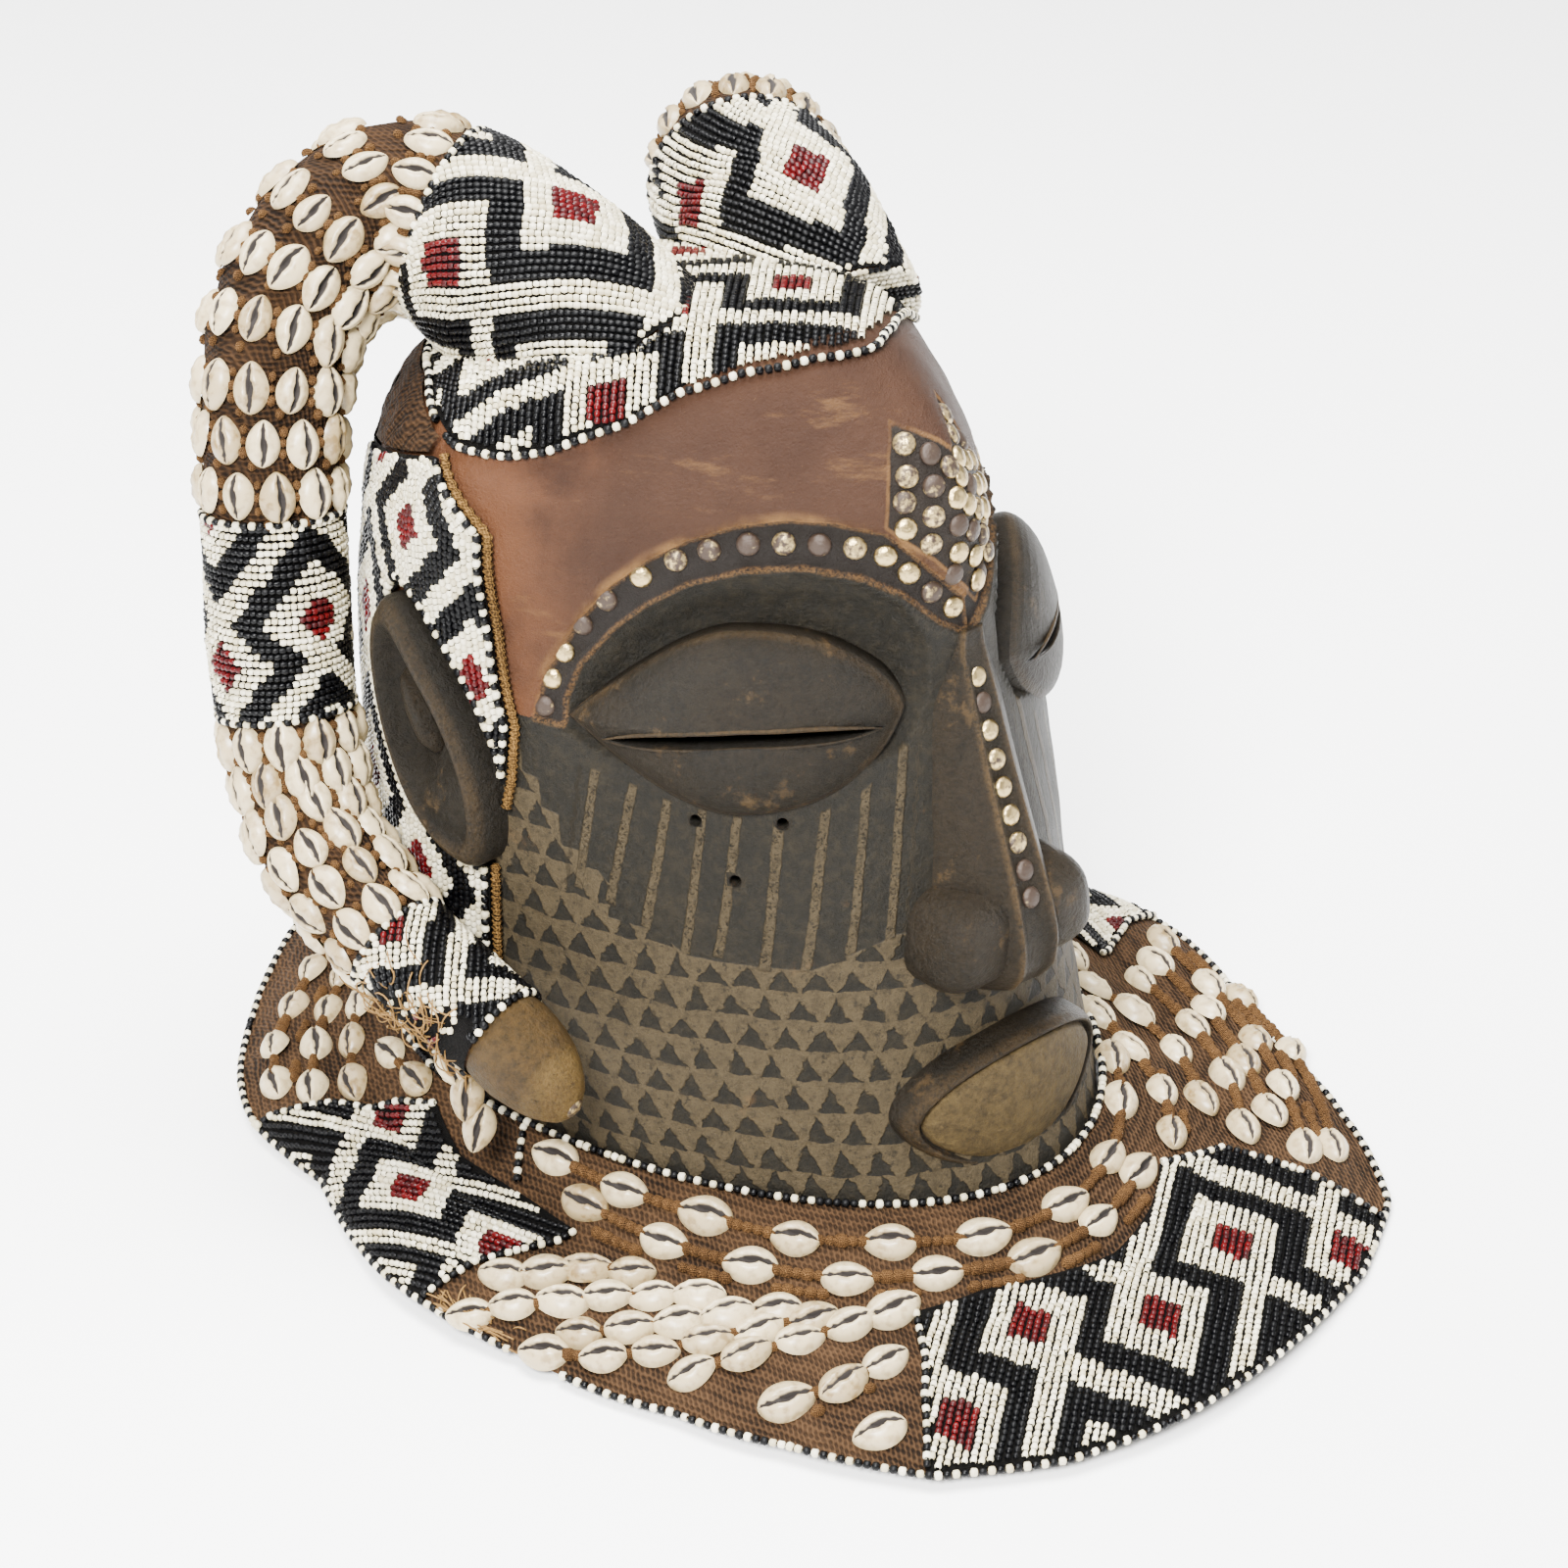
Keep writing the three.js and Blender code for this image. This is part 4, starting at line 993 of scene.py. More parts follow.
@dataclass
class Cowries:
    """Cowrie shells sewn with their slit outward."""

    seed: int = 23

    def __post_init__(self) -> None:
        """Prepares the shared shapes: one fine shell and one plainer."""
        self.rng = np.random.default_rng(self.seed)
        self.forms = {True: self.form(13, 19), False: self.form(9, 13)}

    @staticmethod
    def form(across: int, along: int) -> tuple:
        """One shell of unit half sizes: points, faces and how deep each point is in the slit."""
        places = {13: [-1, -.9, -.72, -.5, -.28, -.12, 0, .12, .28, .5, .72, .9, 1],
                  9: [-1, -.82, -.5, -.15, 0, .15, .5, .82, 1]}[across]
        u, v = np.meshgrid(np.array(places, float), np.sin(np.linspace(-np.pi / 2, np.pi / 2, along)))
        wide = np.maximum(0, 1 - np.abs(v) ** 1.9) ** 0.62
        wide = wide * (1 - 0.12 * v) + 0.02
        bend = 0.10 * (1 - v * v)
        # slit: depth of the groove, which also sets where the shell is painted dark as shade inside the
        # opening
        slit = np.exp(-(((u + 0.06 * np.sin(v * 2.6)) / (0.15 + 0.05 * np.cos(v * 30))) ** 2)) * (1 - v ** 10)
        teeth = 0.10 * np.exp(-((u / 0.3) ** 2)) * np.cos(v * 26) * (np.abs(u) > 0.05)
        dome = np.maximum(0, 1 - u * u) ** 0.5 * np.maximum(0, 1 - v * v) ** 0.42
        rise = dome * (1 - 0.72 * slit - teeth) + 0.10 * np.exp(-(((np.abs(u) - 0.28) / 0.16) ** 2)) * dome
        points = np.stack([(u + bend * (1 - u * u)) * wide, v, rise], -1).reshape(-1, 3)
        return points, grid_faces(along, across), (slit * np.minimum(1, dome * 3)).ravel()

    def sew(self, shell: Shell, centre: np.ndarray, along: np.ndarray, up: np.ndarray, long: float = 21.0,
            wide: float = 14.0, tall: float = 6.5, fine: bool = True) -> None:
        """Adds one shell.

        Args:
            shell: Takes the cowrie.
            centre: Middle of its foot.
            along: Direction of the slit.
            up: Direction away from the cloth.
            long: Length over all.
            wide: Width.
            tall: Height.
            fine: True for the detailed form.
        """
        points, faces, slit = self.forms[fine]
        up = unit(np.asarray(up, float) + self.rng.normal(0, 0.07, 3))
        along = unit(along + self.rng.normal(0, 0.10, 3))
        along = unit(along - up * (along @ up)) * (1 if self.rng.random() < 0.5 else -1)
        across = np.cross(along, up)
        grow = self.rng.uniform(0.92, 1.08)
        grow = grow * np.array([wide * 0.5, long * 0.5, tall])
        turned = centre + (points * grow) @ np.array([across, along, up])
        shell.add(turned, faces, 0, slit=slit, tone=np.full(len(points), self.rng.random() ** 1.6))

    def knot(self, shell: Shell, centre: np.ndarray, along: np.ndarray, up: np.ndarray, size: float) -> None:
        """Adds a small knot of raffia."""
        across = unit(np.cross(along, up))
        size = size * self.rng.uniform(0.8, 1.2)
        ring = hoop(along * 0.62, across * 0.48, 6)
        shell.loft([centre + up * size * 0.62 * h + ring * size * math.sqrt(1 - h * h * 0.95)
                    for h in (-0.1, 0.55, 0.95)], 0, low=False, flip=True, tone=self.rng.random())


@dataclass
class Helmet:
    """The carved wooden head: wall, brow, sockets, eyes, nose, mouth and ears."""

    head: HeadShape
    palette: Palette
    ear: EarPlan
    wall: float = 15.0
    eye_at: tuple = (0.222, 239.0)
    ledge: tuple = ((0, 283), (.03, 296), (.055, 306), (.077, 314), (.128, 318), (.175, 318.5), (.222, 315),
                    (.267, 308), (.303, 299), (.338, 286), (.371, 268), (.398, 246), (.412, 226))
    lip: tuple = ((.382, 226), (.379, 237), (.365, 252.5), (.333, 269.5), (.3, 281.5), (.264, 291),
                  (.21, 298.5), (.155, 300.5), (.101, 297), (.062, 289), (.03, 276), (0, 268))
    socket: tuple = ((.39, 226), (.38, 244), (.36, 258), (.33, 272), (.295, 283.5), (.255, 293), (.21, 298),
                     (.155, 299.5), (.105, 296), (.065, 286), (.045, 270), (.045, 248), (.07, 228),
                     (.15, 217), (.24, 213), (.33, 218))
    plaque: tuple = ((-.076, 317), (-.070, 330), (-.062, 342), (-.046, 352), (-.02, 349), (.003, 345),
                     (.022, 340), (.041, 345), (.064, 349), (.09, 352), (.106, 342), (.114, 330), (.12, 317),
                     (.075, 303), (.022, 279), (-.031, 303))
    ground: tuple = ((1.1, 216), (.46, 216), (.427, 216), (.427, 203), (.411, 202), (.411, 190), (.393, 189),
                     (.393, 176), (.375, 176), (.346, 163.5), (.354, 150), (.309, 148.5), (.282, 140.5),
                     (.23, 139.5), (.171, 139.5), (.139, 146), (.1, 153), (0, 158), (-.1, 158), (-.1, -9),
                     (1.1, -9))
    stripe_tops: tuple = ((.352, 212), (.316, 209), (.285, 205), (.254, 203), (.224, 202), (.188, 201),
                          (.146, 206), (.109, 214), (.072, 229))
    stripe_ends: tuple = ((.38, 160), (.35, 157), (.318, 149.5), (.282, 141.5), (.254, 142.5), (.213, 138.5),
                          (.178, 139.5), (.138, 147), (.104, 153))
    brow_tacks: tuple = ((.402, 232), (.394, 244), (.383, 256), (.365, 268.5), (.341, 280.5), (.309, 292),
                         (.277, 300), (.246, 305), (.209, 308.5), (.175, 309.5), (.141, 309.5), (.107, 308.5),
                         (.078, 305), (.056, 297.5), (.034, 288.5), (.012, 280))
    plaque_tacks: tuple = ((-.040, 346), (-.048, 335), (-.056, 326), (-.058, 316), (-.014, 342), (-.022, 331),
                           (-.029, 320), (-.034, 309), (.006, 336), (.002, 325), (-.002, 314.5), (-.004, 303),
                           (-.012, 294.5))
    nose_tacks: tuple = (251, 241, 230.5, 219.5, 209, 198.5, 188, 177.5, 167)
    plain: dict = field(default_factory=lambda: {"ledge": -9, "band": 9, "socket": 9, "plaque": 9,
                                                 "ground": 9, "fan": 99.5, "run": 5, "across": 0,
                                                 "upward": 90, "wear": 0})

    def marks(self, place: np.ndarray, z: np.ndarray) -> dict:
        """Distances that the paint and the carving follow, for points given by place and height.

        Args:
            place: Places round the head.
            z: Heights.

        Returns:
            Arrays by name.
        """
        side, scale = np.abs(place), np.array([LOOP_MM, 1.0])
        flat, signed = np.stack([side, z], -1) * scale, np.stack([place, z], -1) * scale
        ledge, lip = np.array(self.ledge) * scale, np.array(self.lip) * scale
        gap = edge_distance(flat, ledge, False)
        above = (z > np.interp(flat[:, 0], *ledge.T)) | (flat[:, 0] > ledge[-1, 0])
        fan, run = self.stripes(side, z)
        return {"ledge": np.where(above & (z >= ledge[-1, 1]), gap, -gap),
                "band": edge_distance(flat, np.concatenate([ledge, lip])),
                "socket": edge_distance(flat, np.array(self.socket) * scale),
                "plaque": edge_distance(signed, np.array(self.plaque) * scale),
                "ground": edge_distance(flat, np.array(self.ground) * scale),
                "fan": fan, "run": run, "across": place * LOOP_MM, "upward": z}

    def stripes(self, side: np.ndarray, z: np.ndarray) -> tuple[np.ndarray, np.ndarray]:
        """Which cheek stripe each point is nearest to, and how far down it lies along the stripe."""
        top, end = np.array(self.stripe_tops), np.array(self.stripe_ends)
        numbers = np.arange(len(top), dtype=float)
        fan = np.interp(side, top[::-1, 0], numbers[::-1])
        for _ in range(6):
            high, low = np.interp(fan, numbers, top[:, 1]), np.interp(fan, numbers, end[:, 1])
            run = (high - z) / (high - low)
            share = np.clip(run, -0.2, 1.2)
            at = top[None, :, 0] + (end - top)[None, :, 0] * share[:, None]
            left = np.clip((side[:, None] < at).sum(1) - 1, 0, len(top) - 2)
            rows = np.arange(len(side))
            a, b = at[rows, left], at[rows, left + 1]
            fan = left + (side - a) / np.minimum(b - a, -1e-6)
        fan = np.where((fan < -0.4) | (fan > len(top) - 0.6), len(top) + 2.5, fan)
        return fan, run

    def carving(self, marks: dict, place: np.ndarray, z: np.ndarray) -> np.ndarray:
        """How far the carved skin lies off the plain shape."""
        below = smooth(0.9, -0.9, marks["band"])
        socket = smooth(0.5, -1.5, marks["socket"])
        bowl = smooth(0, -17, marks["socket"])
        depth = -2.8 * np.maximum(below, socket) - 7.5 * bowl
        depth += 0.9 * smooth(2.4, 0.4, np.abs(marks["socket"] + 0.2)) * smooth(225, 235, z)
        depth -= 1.1 * smooth(0.7, -0.7, marks["plaque"]) * (1 - np.maximum(below, socket))
        depth -= 2.0 * smooth(350, 354, z) * smooth(1, 6, z - cap_edge(place))
        return depth

    def shell_skin(self, shell: Shell) -> None:
        """Adds the outside, the inside and the rim as one closed skin."""
        half = np.concatenate([np.arange(0, 0.462, 0.0042), np.linspace(0.462, 1.0, 44)])
        places = np.concatenate([-half[:0:-1], half[:-1]])
        heights = np.concatenate([np.arange(0, 36, 6), np.arange(36, 110, 3), np.arange(110, 345, 1.9),
                                  np.arange(345, 376, 2.5)])
        s, z = np.meshgrid(places, heights)
        marks = self.marks(s.ravel(), z.ravel())
        outer = self.head.lifted(s, z, self.carving(marks, s.ravel(), z.ravel()).reshape(s.shape))
        outer += self.head.out(s, z) * (ripple(outer, 5, 26.0) * 0.25)[..., None]
        outer[0, :, 2] = 0
        deep = np.concatenate([np.linspace(0, 330, 24), [342, 350, 356, 360]])
        s, z = np.meshgrid(places, deep)
        inner = self.head.point(s, np.minimum(z * 1.045, TOP)) - self.head.out(s, z) * self.wall
        hub = np.array([-4.0, -20.0])
        inner[..., :2] = mix(inner[..., :2], hub, (smooth(300, 362, z) * 0.35)[..., None])
        inner[..., 2] = np.minimum(z, 358)
        inner += (ripple(inner, 9, 17.0) * 0.5 * smooth(5, 30, z))[..., None] * self.head.out(s, z)
        rows, more, cols = len(heights), len(deep), len(places)
        start, j = rows * cols, np.arange(cols)
        k, end = (j + 1) % cols, start + more * cols
        points = np.concatenate([outer.reshape(-1, 3), inner.reshape(-1, 3),
                                 [outer[-1].mean(0), inner[-1].mean(0)]])
        faces = [grid_faces(rows, cols, True), grid_faces(more, cols, True, True) + start,
                 np.stack([j, start + j, start + k, k], -1),
                 np.stack([start - cols + j, start - cols + k, np.full(cols, end)], -1),
                 np.stack([end - cols + k, end - cols + j, np.full(cols, end + 1)], -1)]
        full = {name: np.concatenate([values, np.full(len(points) - start, float(self.plain[name]))])
                for name, values in marks.items()}
        shell.add(points, faces, [0, 4, 4, 0, 4], **full)

    def ahead(self, side: int) -> np.ndarray:
        """Direction that one eye looks in."""
        return self.head.out(side * self.eye_at[0], self.eye_at[1])

    def fall(self, s: np.ndarray) -> np.ndarray:
        """How far the eye's face turns back at its corners, from 0 to 1."""
        return np.clip((s - self.eye_at[0]) / 0.152, -1, 1) ** 2

    @staticmethod
    def eye_ring(scale: float, steps: int) -> tuple[np.ndarray, np.ndarray]:
        """Place and height round the eye: sharp at its outer corner, rounder by the nose."""
        a = circle(steps)
        t = -np.cos(a)
        tall = np.where(t > 0, np.maximum(0, 1 - np.abs(t) ** 1.7) ** 1.12,
                        np.maximum(0, 1 - np.abs(t) ** 2.4) ** 0.72)
        rise = np.where(np.sin(a) > 0, 37.5, 35.5) * tall * np.sign(np.sin(a))
        return 0.2225 + 0.1535 * scale * t, 238.0 + scale * (rise - 6.5 * t)

    def eye(self, shell: Shell, side: int) -> None:
        """Adds one heavy-lidded eye, a long lens with a crisp edge."""
        profile = ((1.0, -16), (1.0, -6), (1.0, -0.5), (0.992, 1.4), (0.97, 3.0), (0.93, 4.9), (0.86, 6.9),
                   (0.76, 8.8), (0.64, 10.2), (0.5, 11.3), (0.36, 11.9), (0.22, 12.2), (0.1, 12.3))
        rings = []
        for scale, lift in profile:
            s, z = self.eye_ring(scale, 128)
            lifts = lift - 2.4 * self.fall(s) * (lift > 0)
            rings.append(self.head.point(side * s, z) + self.ahead(side) * lifts[:, None])
        wear = np.array([[0.35 if 0.9 <= lift < 4 else 0.1] for _, lift in profile])
        shell.loft(rings, 1, flip=side > 0, wear=wear)

    @staticmethod
    def slit_line(t: np.ndarray, way: float, open_mm: float) -> tuple[np.ndarray, np.ndarray]:
        """Place and height along a lid's edge, from t -1 by the nose to 1."""
        s = 0.2125 + 0.1255 * t
        middle = line([.087, .15, .211, .273, .338], [238.6, 237.4, 235.4, 231.6, 227.6], s)
        return s, middle + way * open_mm * (1 - t ** 4)

    def lids(self, shell: Shell, side: int) -> None:
        """Adds the worn rounded edges of both lids, the upper one heavier."""
        forward, up = self.ahead(side), np.array([0, 0, 1.0])
        for way, fat, wear in ((-1, 0.9, 0.25), (1, 1.3, 0.6)):
            rings = []
            for t in np.linspace(-1, 1, 61):
                s, z = self.slit_line(t, way, 2.7 + fat * 0.6)
                fall = self.fall(s)
                here = self.head.point(side * s, z) + forward * (11.2 - 3.6 * fall - 4.0 * fall ** 3)
                rings.append(here + hoop(up, forward, 8) * fat * (1 - 0.8 * abs(t) ** 3))
            shell.loft(rings, 1, flip=side < 0, wear=wear)

    def nose(self, shell: Shell) -> None:
        """Adds the long nose with its grooved ridge, and its wings."""
        rows = np.array([(272, 8, 5, -131, -120), (262, 12, 6.4, -131.5, -120), (245, 21, 7, -138, -116),
                         (214, 26, 7.8, -149.5, -118), (178, 30, 8.8, -164.5, -122),
                         (162, 33, 9.6, -170.5, -126), (148, 33, 10, -174, -130), (136, 30, 9.6, -173, -134),
                         (126, 22, 8, -166, -138), (121, 15, 6, -156, -139)], float)[::-1]
        heights = np.concatenate([np.linspace(121, 140, 14), np.linspace(142, 270, 52)])
        columns = [np.interp(heights, rows[:, 0], rows[:, k]) for k in range(1, 5)]
        q, at = np.linspace(0, 1, 25), np.array([0, 0.10, 0.16, 0.24, 0.32, 0.52, 0.70, 0.86, 1.0])
        rings = []
        for z, base, ridge, front, foot in zip(heights, *columns):
            xs = np.array([0, ridge - 4.4, ridge - 3.2, ridge - 1.2, ridge + 0.6, mix(ridge, base, 0.42),
                           mix(ridge, base, 0.78), base, base])
            groove = 1.5 * smooth(262, 240, z) * smooth(122, 132, z)
            ys = np.array([front + groove, front + groove, front + groove * 0.3, front - 0.5, front + 0.6,
                           mix(front, foot, 0.25), mix(front, foot, 0.55), mix(front, foot, 0.85), foot + 12])
            half = np.stack([np.interp(q, at, xs), np.interp(q, at, ys), np.full(25, z)], -1)
            rings.append(np.concatenate([half[::-1] * [-1, 1, 1], half[1:]]))
        rings = np.array(rings)
        for _ in range(2):
            rings[1:-1] = (rings[:-2] + rings[2:] + 2 * rings[1:-1]) / 4
        mark = 0.9 * np.exp(-(((q - 0.26) / 0.045) ** 2)) + 0.15
        shell.loft(rings, 1, wear=np.concatenate([mark[::-1], mark[1:]])[None])
        turn = circle(36)
        ball = np.array([np.stack([math.sqrt(1 - h * h) * np.cos(turn), math.sqrt(1 - h * h) * np.sin(turn),
                                   np.full(36, h)], -1) for h in np.linspace(-0.99, 0.99, 20)])
        ball /= np.sum(np.abs(ball) ** 3.0, axis=-1, keepdims=True) ** (1 / 3.0)
        ball[..., 0] *= 1 - 0.18 * ball[..., 2]
        for side in SIDES:
            shell.loft(ball * [19.5, 22, 20.5] + [side * 20.5, -147.5, 151.0], 1, wear=0.15)

    def mouth(self, shell: Shell) -> None:
        """Adds the mouth, a pointed oval with a bevelled rim and a tan inside."""
        profile = ((1.0, -10, .1), (1.0, 6, .1), (.99, 9.5, .5), (.965, 12, .6), (.94, 13, .4),
                   (.915, 12.6, .2), (.9, 11, .1), (.885, 9.6, 0), (.87, 9.6, 0), (.855, 11.2, .5),
                   (.835, 12.6, .5), (.75, 13.6, .3), (.62, 14.4, .3), (.45, 15.4, .3), (.25, 16, .3),
                   (.1, 16.2, .3))
        a = circle(96)
        x, z = 53 * np.cos(a), 29 * np.sign(np.sin(a)) * np.abs(np.sin(a)) ** 1.15
        rings = np.array([np.stack([grow * x, -158 + 0.0052 * (grow * x) ** 2 - lift, 75 + grow * z], -1)
                          for grow, lift, _ in profile])
        wear = np.array(profile)[:, 2:]
        shell.loft(rings[:9], 1, high=False, wear=wear[:9])
        shell.loft(rings[8:], 2, low=False, wear=wear[8:])

    def ears(self, shell: Shell, side: int) -> None:
        """Adds one leaf-shaped ear with a hollow in its upper half, and the lobe in the hollow."""
        plan = self.ear
        profile = ((1.0, -6), (1.01, 0), (1.02, 7), (1.02, 11), (0.99, 14.2), (0.94, 16.4), (0.88, 17.0),
                   (0.82, 16.2), (0.77, 13.5), (0.72, 10), (0.66, 7), (0.56, 5), (0.42, 4), (0.2, 3.6))
        forward, a, rings = self.head.out(side * plan.place, plan.z), circle(72), []
        for scale, lift in profile:
            s, z = plan.outline(scale)
            upper = smooth(-20, 4, plan.long * scale * np.cos(a) + 8)
            high = np.full(72, lift) if scale > 0.86 else mix(14.0, lift, upper)
            rings.append(self.head.point(side * s, z) + forward * high[:, None])
        wear = np.array([[0.4 if 0.84 < scale < 1 else 0.05] for scale, _ in profile])
        shell.loft(rings, 1, flip=side > 0, wear=wear)
        rings = []
        for scale, lift, shift in ((.34, 2, 8), (.32, 8, 8), (.25, 12, 9), (.12, 13.5, 10)):
            s, z = plan.spot(shift + plan.long * scale * np.cos(a), plan.wide * scale * 0.672 * np.sin(a))
            rings.append(self.head.point(side * s, z) + forward * lift)
        shell.loft(rings, 1, flip=side > 0, wear=0.15)

    def openings(self, looks: list) -> bpy.types.Object:
        """The shapes that cut the eye slits and the cheek holes."""
        shell = Shell(*self.plain)
        for side in (-1, 1):
            forward = self.ahead(side)
            t = np.concatenate([np.linspace(-1, 1, 24), np.linspace(1, -1, 24)[1:-1]])
            way = np.repeat([-1.0, 1.0], (24, 22))
            s, z = self.slit_line(t, way, 2.7)
            ring = self.head.point(side * s, z + way * 0.15)
            shell.loft([ring - forward * 45, ring + forward * 25], 1, flip=side < 0, **self.plain)
            for hs, hz in ((.262, 198), (.185, 200), (.232, 175)):
                out = self.head.out(side * hs, hz)
                over = unit(np.array([-out[1], out[0], 0]))
                ring = self.head.point(side * hs, hz) + hoop(over, np.cross(out, over), 14) * 2.5
                shell.loft([ring - out * 34, ring + out * 14], 1, **self.plain)
        return shell.build("openings", looks)

    def tacks(self, shell: Shell) -> None:
        """Adds the brass tacks: brow bands, plaque and nose ridge."""
        for side in (-1, 1):
            for s, z in self.brow_tacks[:-1] if side > 0 else self.brow_tacks:
                self.tack(shell, side * s, z, -2.8, 4.6)
        for s, z in self.plaque_tacks:
            for place in (s, 0.044 - s):
                self.tack(shell, place, z, -1.1, 4.5)
        for z in (331, 320, 309, 298, 287.5):
            self.tack(shell, 0.022, z, -1.1, 4.5)
        for z in self.nose_tacks:
            y = float(line([148, 162, 178, 214, 245, 262], [-173.5, -170, -164, -149, -137, -131.5], z))
            self.dome(shell, np.array([0, y + 1.0, z]), unit(np.array([0, -1.0, 0.32])), 4.4)

    def tack(self, shell: Shell, place: float, z: float, lift: float, size: float) -> None:
        """Adds one tack by its place on the head."""
        self.dome(shell, self.head.lifted(place, z, lift), self.head.out(place, z), size)

    @staticmethod
    def dome(shell: Shell, spot: np.ndarray, up: np.ndarray, size: float) -> None:
        """Adds one domed tack head."""
        rng = np.random.default_rng(int(abs(spot[0] * 37 + spot[2] * 11)) + 3)
        up = unit(up + rng.normal(0, 0.06, 3))
        over = unit(np.cross(up, [0.3, 0.2, 1.0]))
        ring = hoop(over, np.cross(up, over), 14) * size
        profile = ((1.0, -0.15), (1.0, 0.06), (0.9, 0.24), (0.66, 0.42), (0.35, 0.5))
        shell.loft([spot + up * h * size + ring * r for r, h in profile], 3, tone=rng.random())

    def make(self) -> bpy.types.Object:
        """Builds the helmet, cuts its openings and stands it for the carved node."""
        p = self.palette
        looks = [p.painted, p.carved, p.tan_carved, p.brass, p.bare]
        shell = Shell(*self.plain)
        self.shell_skin(shell)
        for side in SIDES:
            self.eye(shell, side)
        body = shell.build("carved_helmet", looks)
        cutter = self.openings(looks)
        cut = body.modifiers.new("openings", "BOOLEAN")
        cut.operation, cut.solver, cut.object = "DIFFERENCE", "MANIFOLD", cutter
        before = len(body.data.polygons)
        carved = bpy.data.meshes.new_from_object(body.evaluated_get(bpy.context.evaluated_depsgraph_get()))
        body.modifiers.clear()
        body.data = carved
        LOG.info("openings cut: faces %d to %d", before, len(carved.polygons))
        bpy.data.objects.remove(cutter)
        shell = Shell(*self.plain)
        for side in SIDES:
            self.lids(shell, side)
            self.ears(shell, side)
        self.nose(shell)
        self.mouth(shell)
        parts = shell.build("carved_features", looks)
        with bpy.context.temp_override(active_object=body, selected_editable_objects=[body, parts]):
            bpy.ops.object.join()
        studs = Shell("tone")
        self.tacks(studs)
        dress([body, studs.build("brass_tacks", [p.brass] * 4)], "wooden_helmet")
        return body


def catmull(points: np.ndarray, steps: int) -> np.ndarray:
    """A smooth curve through points, with the same spacing rule as the solid model.

    Args:
        points: Points to pass through.
        steps: Number of even steps of its parameter.

    Returns:
        The steps + 1 points of the curve.
    """
    ends = np.concatenate([[2 * points[0] - points[1]], points, [2 * points[-1] - points[-2]]])
    made = []
    for u in np.linspace(0, len(points) - 1, steps + 1):
        i = min(int(u), len(points) - 2)
        w = u - i
        p0, p1, p2, p3 = ends[i:i + 4]
        d0, d1, d2 = [max(np.linalg.norm(b - a) ** 0.5, 1e-4) for a, b in ((p0, p1), (p1, p2), (p2, p3))]
        t1 = ((p1 - p0) / d0 - (p2 - p0) / (d0 + d1) + (p2 - p1) / d1) * d1
        t2 = ((p2 - p1) / d1 - (p3 - p1) / (d1 + d2) + (p3 - p2) / d2) * d1
        c2, c3 = -3 * p1 + 3 * p2 - 2 * t1 - t2, 2 * p1 - 2 * p2 + t1 + t2
        made.append(p1 + t1 * w + c2 * w * w + c3 * w ** 3)
    return np.array(made)


